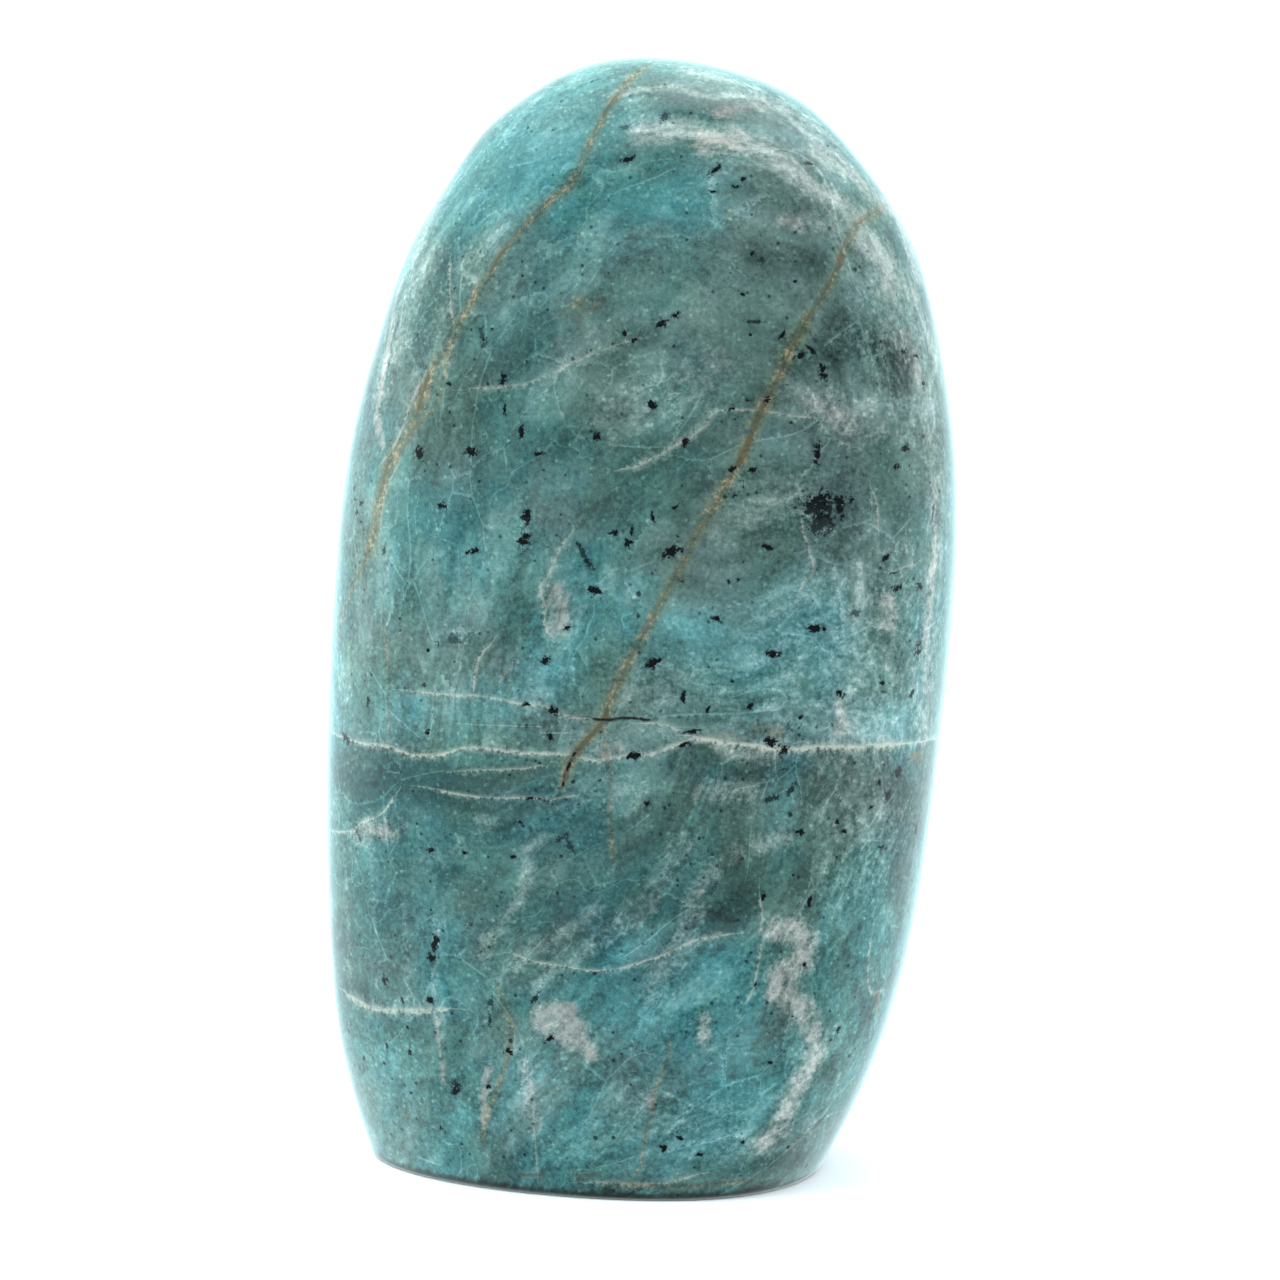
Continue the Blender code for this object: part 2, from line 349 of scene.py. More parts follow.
# Each row is a Line without its kind: half width in millimetres, strength, route, and the view.
LINE_ROWS: dict[Seam, tuple] = {
    Seam.WHITE: (
        (0.26, 0.9, MAIN_SEAM),
        (0.28, 0.9, MAIN_SEAM_BEHIND, View.BACK),
        (0.42, 0.9, ((699, 739), (720, 742), (743, 745), (789, 749), (817, 747), (845, 747), (875, 745),
         (901, 744))),
        (0.16, 0.8, ((426, 372), (414, 396), (402, 428), (392, 450), (382, 462))),
        (0.16, 0.7, ((398, 464), (388, 486), (382, 510), (380, 530))),
        (0.19, 0.81, ((410, 691), (430, 693), (453, 695), (479, 696), (502, 700), (524, 704), (545, 706),
         (555, 712), (576, 718), (596, 719))),
        (0.19, 0.72, ((652, 723), (667, 725), (683, 733))),
        (0.14, 0.63, ((456, 771), (489, 770), (519, 769), (542, 765))),
        (0.14, 0.63, ((429, 788), (471, 796), (504, 798), (528, 797), (557, 799), (573, 795))),
        (0.15, 0.63, ((329, 831), (351, 831), (362, 822), (380, 815), (394, 796))),
        (0.2, 0.72, ((489, 645), (481, 655), (476, 670), (473, 690))),
        (0.14, 0.45, ((512, 665), (499, 683))),
        (0.2, 0.45, ((468, 389), (522, 384), (555, 372), (581, 359), (606, 349), (637, 338))),
        (0.18, 0.5, ((712, 413), (705, 426), (684, 441), (661, 454), (636, 466), (615, 471))),
        (0.15, 0.63, ((712, 412), (731, 409), (763, 411), (789, 415), (812, 418))),
        (0.2, 0.63, ((573, 530), (558, 553), (550, 573), (540, 586), (544, 604), (545, 624), (550, 635))),
        (0.14, 0.63, ((802, 520), (807, 543), (812, 558), (813, 573), (802, 584), (799, 594))),
        (0.14, 0.54, ((874, 492), (878, 510), (878, 533))),
        (0.14, 0.45, ((906, 535), (907, 558))),
        (0.17, 0.54, ((888, 573), (916, 563))),
        (0.17, 0.54, ((794, 160), (817, 183))),
        (0.17, 0.54, ((450, 262), (450, 295), (453, 323))),
        (0.14, 0.54, ((463, 285), (479, 280))),
        (0.17, 0.72, ((516, 955), (536, 962), (557, 965), (584, 970), (611, 970), (638, 963), (667, 954),
         (688, 943), (707, 937), (731, 934))),
        (0.15, 0.54, ((761, 898), (762, 919), (761, 951), (753, 989), (747, 1002))),
        (0.15, 0.63, ((871, 941), (868, 968), (871, 992), (884, 989))),
        (0.48, 0.72, ((346, 994), (364, 1005), (386, 1010), (412, 1011), (429, 1010), (447, 1009))),
        (0.15, 0.63, ((590, 1182), (654, 1184), (700, 1174))),
        (0.1, 0.45, ((533, 1120), (538, 1176))),
        (0.16, 0.7, ((360, 560), (400, 566), (452, 560), (500, 572), (548, 580)), View.BACK),
        (0.2, 0.7, ((640, 860), (700, 850), (760, 866), (812, 860)), View.BACK),
        (0.16, 0.7, ((420, 900), (470, 890), (530, 905), (580, 900)), View.BACK),
        (0.18, 0.7, ((700, 520), (742, 540), (790, 536), (835, 552)), View.BACK),
        (0.14, 0.6, ((500, 330), (560, 350), (620, 345)), View.BACK),
    ),
    Seam.OCHRE: (
        (0.55, 0.9, ((657, 59), (634, 76), (624, 88), (609, 108), (601, 124), (593, 137), (583, 160),
         (568, 188), (555, 196), (540, 211), (522, 229), (509, 244), (499, 257), (489, 275), (480, 287),
         (466, 313), (456, 326), (448, 346), (433, 369), (422, 397), (416, 415))),
        (1.0, 1.0, ((433, 369), (422, 397), (410, 433), (402, 446), (389, 466), (379, 502), (374, 533),
         (366, 558))),
        (0.4, 0.9, ((376, 520), (374, 533), (366, 558), (356, 579), (348, 599), (341, 622), (337, 645))),
        (0.3, 0.8, ((450, 346), (444, 380), (436, 404), (420, 424), (404, 450))),
        (0.5, 0.9, ((893, 203), (881, 207), (870, 216), (860, 221), (853, 231), (845, 247), (839, 262),
         (835, 277), (824, 293), (814, 310), (802, 328))),
        (0.7, 1.0, ((814, 310), (802, 328), (791, 349), (781, 372), (773, 390), (763, 407), (750, 438),
         (743, 456), (736, 468))),
        (0.65, 1.0, ((750, 438), (743, 456), (730, 479), (717, 502), (702, 525), (689, 551), (677, 576),
         (661, 602), (648, 627), (633, 655), (620, 678), (608, 704), (604, 721), (593, 734), (581, 747),
         (570, 762), (565, 778), (560, 790))),
        (0.28, 0.6, ((604, 732), (606, 752), (610, 770), (610, 800), (613, 860))),
        (0.35, 0.8, ((498, 986), (505, 1010), (512, 1026), (510, 1048), (505, 1067), (497, 1088),
         (494, 1101), (488, 1109), (484, 1126), (482, 1139), (484, 1152))),
        (0.25, 0.7, ((671, 1037), (667, 1061), (656, 1088), (651, 1112), (646, 1136), (642, 1163),
         (635, 1176))),
        (0.2, 0.5, ((384, 563), (383, 624), (388, 655), (389, 681), (388, 706), (388, 742))),
        (0.3, 0.7, ((600, 1184), (680, 1186), (760, 1180))),
        (0.5, 0.9, ((622, 60), (628, 84), (641, 120), (652, 160), (668, 205), (680, 250), (699, 300),
         (712, 340), (731, 392), (742, 440), (760, 490), (771, 530)), View.BACK),
        (0.5, 0.9, ((940, 640), (930, 672), (916, 700), (900, 728), (888, 752), (870, 790), (862, 830),
         (850, 870)), View.BACK),
        (0.45, 0.9, ((388, 204), (399, 192), (420, 184), (446, 186), (472, 196), (500, 202), (530, 216),
         (560, 236)), View.BACK),
        (0.4, 0.8, ((436, 552), (448, 596), (470, 640), (482, 690), (510, 736), (520, 764)), View.BACK),
        (0.3, 0.8, ((640, 1090), (652, 1040), (668, 1000), (672, 950)), View.BACK),
    ),
    Seam.RUST: (
        (0.3, 0.8, ((430, 372), (422, 394), (418, 412))),
        (0.4, 0.8, ((768, 396), (758, 418), (750, 438), (743, 456), (736, 468))),
        (0.12, 0.5, ((736, 468), (717, 502), (689, 551), (661, 602), (633, 655), (612, 700))),
        (0.12, 0.7, ((839, 262), (824, 293), (802, 328), (781, 372), (770, 392))),
        (0.34, 0.9, ((608, 706), (604, 721), (593, 734), (581, 747), (571, 762), (563, 786))),
        (0.55, 0.7, ((842, 254), (838, 268))),
        (0.3, 0.7, ((618, 95), (609, 108), (604, 116))),
        (0.25, 0.8, ((506, 248), (499, 257), (489, 275))),
        (0.3, 0.6, ((392, 450), (384, 478), (378, 500))),
        (0.2, 0.5, ((872, 214), (858, 224))),
        (0.22, 0.8, ((876, 992), (879, 1012))),
        (0.2, 0.7, ((517, 1174), (530, 1175), (544, 1174))),
        (0.2, 0.7, ((573, 1175), (597, 1175))),
        (0.3, 0.8, ((652, 160), (668, 205), (680, 250)), View.BACK),
        (0.3, 0.8, ((900, 728), (888, 752), (870, 790)), View.BACK),
    ),
    Seam.CRACK: (
        (0.25, 1.0, ((592, 719), (606, 720), (627, 718), (650, 720))),
        (0.2, 1.0, ((604, 716), (630, 722), (660, 719), (684, 727)), View.BACK),
    ),
}
LINES = tuple(Line(seam, *row) for seam, rows in LINE_ROWS.items() for row in rows)

# Each row is a Fleck: x, y, half length, half width, turn, and the darkness if it isn't full.
FLECK_ROWS: tuple[tuple[float, ...], ...] = (
    (629, 159, 8, 3, 20), (625, 129, 5, 4, 0, 0.5), (665, 117, 6, 4, 60, 0.7), (715, 170, 9, 3, 40),
    (743, 179, 4, 2, 30), (735, 187, 4, 2, 0), (712, 192, 5, 2, 10), (809, 164, 6, 2, 0),
    (753, 254, 3, 3, 0), (763, 261, 5, 3, -40, 0.7), (795, 281, 3, 2, 0), (742, 294, 3, 2, 0),
    (661, 323, 6, 4, 10), (676, 315, 5, 3, 30), (753, 322, 9, 2, 0, 0.8), (782, 335, 5, 2, 60),
    (751, 335, 2, 2, 0), (625, 333, 3, 3, 0), (634, 340, 4, 2, 30), (799, 356, 6, 3, 10),
    (812, 351, 6, 2, -40), (823, 372, 9, 4, 100), (904, 351, 4, 3, 0), (916, 356, 5, 2, 0),
    (924, 383, 3, 3, 0), (768, 400, 4, 3, 30), (748, 400, 3, 2, 0), (731, 409, 4, 2, 0),
    (652, 405, 6, 4, -30), (482, 334, 8, 3, 90, 0.6), (484, 345, 6, 3, 80, 0.6), (504, 378, 6, 4, 90),
    (450, 384, 3, 3, 0), (505, 409, 6, 2, 90), (522, 433, 8, 3, 80), (597, 437, 5, 4, 0),
    (419, 454, 8, 5, -50), (471, 452, 6, 4, -20), (539, 454, 4, 2, 0), (442, 506, 6, 4, 10),
    (526, 516, 9, 5, 80), (523, 540, 10, 6, 75), (473, 552, 9, 3, 15), (583, 554, 11, 3, -65, 0.8),
    (590, 566, 7, 3, -50, 0.8), (595, 591, 9, 5, -15), (614, 533, 6, 3, 10), (632, 531, 5, 2, 80),
    (628, 544, 5, 4, 50), (653, 517, 5, 2, -70), (671, 552, 11, 6, 30), (676, 506, 5, 2, 40),
    (685, 442, 5, 3, 60), (567, 627, 3, 3, 0), (454, 640, 8, 5, 0, 0.5), (428, 650, 2, 2, 0),
    (545, 660, 5, 4, 0), (653, 664, 10, 5, 35), (683, 697, 6, 3, 80), (368, 702, 6, 3, 90),
    (428, 732, 7, 3, 80), (346, 738, 9, 4, -15), (568, 768, 9, 2, 65), (574, 754, 4, 2, 50),
    (563, 784, 4, 1, 70), (546, 1040, 5, 2, 60), (550, 737, 3, 3, -40), (526, 704, 4, 2, 0),
    (553, 711, 6, 4, -30), (693, 731, 8, 2, 10), (684, 744, 6, 3, 10), (634, 755, 9, 4, 10),
    (384, 551, 4, 3, 80, 0.7), (354, 489, 3, 3, 0), (361, 503, 4, 3, 0), (357, 512, 4, 3, 0),
    (361, 522, 3, 2, 0), (817, 454, 10, 4, 88), (733, 469, 5, 3, 30), (752, 470, 6, 3, 10),
    (735, 496, 3, 2, 0), (897, 467, 5, 3, -30), (906, 448, 5, 4, 0), (767, 547, 6, 3, -20),
    (887, 558, 6, 3, 40), (897, 588, 6, 4, 10), (919, 587, 5, 4, -20), (729, 582, 2, 2, 0),
    (738, 580, 2, 2, 0), (717, 618, 5, 3, -10), (814, 628, 8, 4, 0), (824, 629, 3, 2, 20),
    (773, 654, 9, 4, -10), (734, 681, 3, 2, 0), (839, 692, 6, 4, -30), (882, 683, 4, 2, 0),
    (884, 692, 3, 2, 0), (912, 693, 5, 3, 70), (918, 650, 9, 4, 85), (933, 513, 11, 2, 75, 0.7),
    (708, 710, 4, 2, 60), (750, 706, 4, 2, 40), (800, 718, 3, 2, 0), (770, 741, 9, 5, -25),
    (784, 750, 6, 4, 0), (856, 612, 5, 4, 0, 0.6), (898, 772, 7, 5, 40, 0.8), (879, 784, 5, 3, -50),
    (532, 798, 8, 3, 0), (358, 835, 7, 2, -40, 0.8), (379, 838, 2, 2, 0), (430, 849, 5, 3, 0),
    (465, 853, 3, 2, 0), (513, 857, 4, 2, -10), (520, 822, 4, 2, 0), (562, 838, 8, 3, 20, 0.7),
    (570, 846, 8, 3, -60, 0.7), (646, 804, 4, 3, 0), (435, 943, 9, 4, 80), (431, 957, 6, 4, 30),
    (384, 980, 6, 4, 90), (402, 1000, 4, 2, 90), (430, 1000, 4, 4, 0), (407, 1027, 3, 3, 0),
    (387, 1047, 4, 2, 90), (410, 1051, 5, 3, 80), (364, 1058, 3, 3, 0), (384, 1063, 3, 2, 0),
    (404, 1085, 3, 3, 0, 0.6), (411, 1093, 2, 2, 0), (455, 1089, 8, 6, 60), (489, 1087, 3, 2, 0),
    (491, 1003, 7, 3, 88, 0.8), (490, 1019, 8, 2, 88, 0.8), (536, 998, 7, 3, 45, 0.8),
    (549, 1038, 6, 3, 20), (509, 1052, 5, 4, 10), (470, 925, 4, 4, 0, 0.6), (441, 1127, 3, 2, 80),
    (391, 1134, 2, 2, 0), (664, 1148, 4, 4, 0), (680, 1138, 5, 2, -30), (699, 1155, 4, 2, 0),
    (837, 822, 4, 3, 80), (844, 831, 3, 3, 0), (800, 832, 5, 3, -20), (881, 847, 3, 3, 0),
    (793, 876, 2, 2, 0), (809, 902, 6, 3, 85), (763, 897, 6, 2, 80), (755, 984, 2, 2, 0),
    (838, 1031, 5, 2, 80), (804, 965, 3, 2, 0), (770, 1063, 3, 2, 0), (743, 1142, 2, 2, 0),
    (788, 1147, 3, 2, 0), (916, 828, 8, 3, 85), (888, 796, 7, 4, 80, 0.8), (871, 807, 3, 2, 0),
    (772, 798, 8, 4, 20, 0.8), (790, 790, 8, 3, 60, 0.8), (821, 505, 18, 14, 5), (806, 512, 6, 4, 20),
    (822, 523, 15, 11, 0, 0.8), (840, 505, 5, 12, 0), (852, 499, 4, 4, 60),
)
FLECKS = tuple(Fleck(*row) for row in FLECK_ROWS)


@dataclass(frozen=True)
class Camera:
    """Where the picture was taken from, in millimetres and degrees, and how long its lens is."""

    distance: float = 650.0
    elevation: float = 8.0
    aim: Triple = (0.17, 0.0, 76.67)
    focal_pixels: float = 4506.5

    def axes(self, view: View) -> tuple[np.ndarray, np.ndarray, np.ndarray, np.ndarray]:
        """The camera's place and directions.

        Args:
            view: the picture, from the front or from behind.

        Returns:
            Its place in millimetres, and its right, up and forward directions.
        """
        side = 1.0 - 2.0 * view.value
        lift = np.radians(self.elevation)
        forward = np.array([0.0, side * np.cos(lift), -np.sin(lift)])
        right = np.array([side, 0.0, 0.0])
        up = np.cross(right, forward)
        return np.array(self.aim) - self.distance * forward, right, up, forward

    def rays(self, pixels: np.ndarray, view: View) -> tuple[np.ndarray, np.ndarray]:
        """Rays from the camera through pixels.

        Args:
            pixels: rows of x, y.
            view: the picture.

        Returns:
            The camera's place, and rows of directions.
        """
        place, right, up, forward = self.axes(view)
        middle = PICTURE_SIDE / 2
        across = (pixels[:, :1] - middle) / self.focal_pixels
        down = (pixels[:, 1:] - middle) / self.focal_pixels
        return place, forward + across * right - down * up


@dataclass(frozen=True)
class GrainNoise:
    """Smooth random values in space, the same on every run.

    The lattice repeats after side cells, and its corner is start sides away from the origin.
    spread is the standard deviation of one layer.
    """

    seed: int
    side: int = 32
    spread: float = 0.31
    start: float = 8.37
    next_seed: int = 100

    def at(self, points: np.ndarray, wavelength: float) -> np.ndarray:
        """Random values of a cubic lattice, blended between its corners by smooth steps.

        Args:
            points: rows of x, y, z.
            wavelength: lattice spacing in the same unit.

        Returns:
            A value from -1 to 1 for each point.
        """
        table = np.random.default_rng(self.seed).uniform(-1, 1, (self.side,) * 3)
        place = points / wavelength + self.side * self.start
        cell = np.floor(place).astype(int)
        share = place - cell
        share = share * share * (3 - 2 * share)
        total = np.zeros(points.shape[:-1])
        for corner in np.ndindex(2, 2, 2):
            weight = np.prod(np.where(np.array(corner) == 1, share, 1 - share), axis=-1)
            index = (cell + corner) % self.side
            total += weight * table[index[..., 0], index[..., 1], index[..., 2]]
        return total

    def layered(self, points: np.ndarray, lengths: Pair, layers: int, fade: float) -> np.ndarray:
        """Several layers of the noise, each half as long and fade times as strong as the last.

        Args:
            points: rows of x, y, z, the first of them across the grain.
            lengths: lattice spacing across and along the grain.
            layers: how many.
            fade: strength of each layer over that of the one before.

        Returns:
            A value for each point, about 0, with a standard deviation of about 1.
        """
        place = points / np.array((lengths[0], lengths[1], lengths[1]))
        weights = fade ** np.arange(layers)
        total = sum(weight * GrainNoise(self.seed + self.next_seed * layer).at(place, HALF**layer)
                    for layer, weight in enumerate(weights))
        return total / (self.spread * np.sqrt(np.sum(weights**2)))


@dataclass(frozen=True)
class FleckScatter:
    """Small dark flecks strewn over one side, long and narrow or stubby, turned any way."""

    count: int = 150
    seed: int = 7
    view: View = View.BACK
    across: Pair = (340, 940)
    down: Pair = (70, 1170)
    half_length: float = 2.5
    length_mean: float = 0.35
    length_deviation: float = 0.45
    narrowness: Pair = (0.4, 0.8)
    turn: Pair = (0, 180)
    darkness: Pair = (0.6, 1)

    def flecks(self) -> tuple[Fleck, ...]:
        """Draws the flecks, their half lengths as half_length exp(normal noise), the rest evenly.

        Returns:
            The flecks.
        """
        random = np.random.default_rng(self.seed)
        across = random.uniform(*self.across, self.count)
        down = random.uniform(*self.down, self.count)
        length = self.half_length * np.exp(random.normal(self.length_mean, self.length_deviation, self.count))
        width = length * random.uniform(*self.narrowness, self.count)
        turn = random.uniform(*self.turn, self.count)
        darkness = random.uniform(*self.darkness, self.count)
        return tuple(Fleck(*row, self.view) for row in zip(across, down, length, width, turn, darkness))


def smooth_step(low: float, high: float, value: np.ndarray) -> np.ndarray:
    """0 below low, 1 above high, and 3t^2 - 2t^3 between them.

    Args:
        low: where the step starts.
        high: where it ends.
        value: what is stepped.

    Returns:
        Values from 0 to 1.
    """
    share = np.clip((value - low) / (high - low), 0, 1)
    return share * share * (3 - 2 * share)


def natural_cubic(knots: np.ndarray, values: np.ndarray, at: np.ndarray) -> np.ndarray:
    """The natural cubic curve through values at knots, which has no bend at either end.

    Args:
        knots: rising places.
        values: the curve's values there.
        at: where the curve is read.

    Returns:
        The curve's values at those places.
    """
    gaps = np.diff(knots)
    slopes = np.diff(values) / gaps
    system = np.eye(len(knots))
    bends = np.zeros(len(knots))
    inner = np.arange(1, len(knots) - 1)
    system[inner, inner - 1] = gaps[:-1]
    system[inner, inner] = 2 * (gaps[:-1] + gaps[1:])
    system[inner, inner + 1] = gaps[1:]
    bends[inner] = 6 * np.diff(slopes)
    bends = np.linalg.solve(system, bends)
    span = np.clip(np.searchsorted(knots, at) - 1, 0, len(gaps) - 1)
    gap = gaps[span]
    before = (knots[span + 1] - at) / gap
    after = (at - knots[span]) / gap
    bow = (before**3 - before) * bends[span] + (after**3 - after) * bends[span + 1]
    return before * values[span] + after * values[span + 1] + bow * gap**2 / 6


@dataclass(frozen=True)
class StoneForm:
    """The stone's shape in millimetres: the CAD solid's own curves on a finer grid."""

    height: float
    stations: tuple[float, ...] = (0, 6, 16, 30, 48, 68, 88, 108, 124, 136, 145, 151.5, 156.5)
    left: tuple[float, ...] = (40.3, 42.2, 44.7, 46.1, 46.4, 45.8, 44.6, 41.7, 37.1, 32.1, 26.3, 20.8, 13.5)
    right: tuple[float, ...] = (26.0, 29.1, 33.5, 37.7, 40.8, 43.0, 44.5, 43.9, 41.1, 37.0, 31.0, 25.1, 17.0)
    front: tuple[float, ...] = (24.0, 24.9, 25.9, 26.7, 27.1, 27.0, 26.0, 24.1, 21.6, 18.8, 15.9, 12.8, 8.9)
    back: tuple[float, ...] = (22.0, 23.2, 24.6, 26.0, 27.0, 27.0, 25.6, 23.0, 20.2, 17.4, 14.6, 11.7, 8.1)
    top_radii: tuple[float, ...] = (31.0, 37.0, 12.0, 10.0)
    square_heights: Pair = (0.0, 60.0)
    square_left: Triple = (1.9, 2.35, 2.15)
    square_right: Triple = (2.3, 2.4, 2.2)
    section_turn: float = -8.0
    foot_rounding: float = 0.8
    flats: tuple[tuple[Triple, float], ...] = (
        ((-0.12, -1.00, 0.04), 0.7),
        ((0.20, 1.00, 0.16), 1.5),
        ((-0.28, 1.00, -0.04), 1.2),
        ((0.62, 0.90, 0.05), 0.9),
        ((-0.70, 0.90, 0.12), 1.0),
    )
    flat_softness: float = 0.35
    columns: int = 352
    body_rings: int = 258
    edge_rings: int = 6
    sole_rings: int = 12
    front_share: float = 0.3
    low_share: float = 0.35

    def dome(self, height: np.ndarray) -> np.ndarray:
        """Share of the width left at a height on a plain round dome: sqrt(1 - (z / H)^2)."""
        return np.sqrt(np.clip(1 - (height / self.height) ** 2, 0, 1))

    def reach(self, reaches: tuple[float, ...], top_radius: float, height: np.ndarray) -> np.ndarray:
        """How far one side stands out at each height.

        The stations' reaches over the dome's share run on a natural cubic curve, which ends at
        sqrt(R H) for a top of radius R, and the curve is taken times the dome's share again.

        Args:
            reaches: the reach at each station.
            top_radius: radius of the rounding over the top.
            height: heights to read.

        Returns:
            The reach at each height.
        """
        stations = np.array(self.stations)
        fullness = np.append(np.array(reaches) / self.dome(stations), np.sqrt(top_radius * self.height))
        return natural_cubic(np.append(stations, self.height), fullness, height) * self.dome(height)

    def ring_heights(self) -> np.ndarray:
        """Heights of the rings: a quarter circle round the foot's edge, and H sin(t) above it.

        The steps of t grow from the foot to the top as u + s u (u - 1) does, for even u, so that
        the rings stand about as far apart on the flanks as on the dome.

        Returns:
            Heights in millimetres, rising.
        """
        edge = self.foot_rounding * (1 - np.cos(np.linspace(0, np.pi / 2, self.edge_rings)))
        start = np.arcsin(edge[-1] / self.height)
        share = np.linspace(0, 1, self.body_rings + 2)[1:-1]
        share += self.low_share * share * (share - 1)
        body = self.height * np.sin(start + (np.pi / 2 - start) * share)
        return np.concatenate([edge, body])

    def column_angles(self) -> np.ndarray:
        """Angles of the columns, closer together on the display face: a + c cos(a)."""
        even = np.linspace(0, 2 * np.pi, self.columns, endpoint=False)
        return even - self.front_share * np.cos(even)

    def rings(self) -> np.ndarray:
        """Points of the rings above the sole.

        Each ring is a superellipse with its own reach to the left, right, front and back, turned
        a little about the vertical, and then shaved to the flats.

        Returns:
            Rings by columns by (x, y, z).
        """
        height = self.ring_heights()
        below = np.clip(self.foot_rounding - height, 0, None)
        inset = self.foot_rounding - np.sqrt(self.foot_rounding**2 - below**2)
        sides = (self.left, self.right, self.front, self.back)
        left, right, front, back = (
            (self.reach(reaches, radius, height) - inset)[:, None]
            for reaches, radius in zip(sides, self.top_radii)
        )
        angle = self.column_angles()
        across, along = np.cos(angle), np.sin(angle)
        square_heights = (*self.square_heights, self.height)
        power = np.where(across >= 0, np.interp(height, square_heights, self.square_right)[:, None],
                         np.interp(height, square_heights, self.square_left)[:, None])
        sideways = np.abs(across / np.where(across >= 0, right, left)) ** power
        endways = np.abs(along / np.where(along >= 0, back, front)) ** power
        radius = (sideways + endways) ** (-1 / power)
        x, y = radius * across, radius * along
        turn = np.radians(self.section_turn)
        points = np.stack([x * np.cos(turn) - y * np.sin(turn), x * np.sin(turn) + y * np.cos(turn),
                           np.broadcast_to(height[:, None], x.shape)], axis=-1)
        return self.shave(points)

    def shave(self, points: np.ndarray) -> np.ndarray:
        """The points with the grinding flats cut: what lies past a plane is drawn back to it.

        Args:
            points: rings of points.

        Returns:
            The points, moved sideways by softness times log(1 + exp(depth past the plane / softness)).
        """
        middle = np.array([0.0, 0.0, self.height / 2])
        for facing, depth in self.flats:
            facing = np.array(facing) / np.linalg.norm(facing)
            over = (points - middle) @ facing
            cut = self.flat_softness * np.logaddexp(0, (over - (over.max() - depth)) / self.flat_softness)
            sideways = facing * (1, 1, 0)
            points = points - cut[..., None] * sideways / (sideways @ facing)
        return points

    def grid(self, middle: np.ndarray) -> np.ndarray:
        """All points of the stone, from the middle of the sole outwards and up to the top.

        Args:
            middle: x and y of the middle of the CAD solid's box, in millimetres.

        Returns:
            Rows of x, y, z: the sole's middle, the rings, the top.
        """
        rings = self.rings()
        flat = rings.reshape(-1, 3)
        centre = (flat.min(axis=0) + flat.max(axis=0)) / 2
        rings = rings - (centre[0] - middle[0], centre[1] - middle[1], 0)
        sole_middle = rings[0].mean(axis=0)
        share = np.linspace(0, 1, self.sole_rings + 1)[1:-1, None, None]
        sole = sole_middle + (rings[0] - sole_middle) * share
        top = rings[-1].mean(axis=0)
        top[2] = self.height
        return np.concatenate([sole_middle[None], sole.reshape(-1, 3), rings.reshape(-1, 3), top[None]])

    def faces(self) -> list[tuple[int, ...]]:
        """Corner numbers of the faces: a fan at each pole and quads between the rings.

        Returns:
            Three or four numbers for each face.
        """
        rows = self.sole_rings - 1 + self.edge_rings + self.body_rings
        column = np.arange(self.columns)
        after = (column + 1) % self.columns
        lower = 1 + self.columns * np.arange(rows - 1)[:, None]
        upper = lower + self.columns
        quads = np.stack([lower + column, lower + after, upper + after, upper + column], axis=-1)
        last = 1 + self.columns * (rows - 1)
        top = last + self.columns
        sole_fan = np.stack([np.zeros_like(column), 1 + after, 1 + column], axis=-1)
        top_fan = np.stack([last + column, last + after, np.full_like(column, top)], axis=-1)
        return sole_fan.tolist() + quads.reshape(-1, 4).tolist() + top_fan.tolist()


def smooth_route(corners: Route, step: float) -> np.ndarray:
    """Points on the Catmull-Rom curve through a route's corners.

    Args:
        corners: at least one point.
        step: the points' rough spacing.

    Returns:
        Rows of x, y. A single corner becomes a stroke one pixel long.
    """
    knots = np.array(corners, float)
    if len(knots) == 1:
        knots = np.vstack([knots - (0.5, 0), knots + (0.5, 0)])
    padded = np.vstack([2 * knots[0] - knots[1], knots, 2 * knots[-1] - knots[-2]])
    pieces = []
    for before, start, end, after in zip(padded, padded[1:], padded[2:], padded[3:]):
        count = max(1, int(np.ceil(np.linalg.norm(end - start) / step)))
        t = np.arange(count)[:, None] / count
        bend = 2 * before - 5 * start + 4 * end - after
        swing = 3 * start - before - 3 * end + after
        pieces.append(HALF * (2 * start + (end - before) * t + bend * t**2 + swing * t**3))
    pieces.append(knots[-1:])
    return np.vstack(pieces)


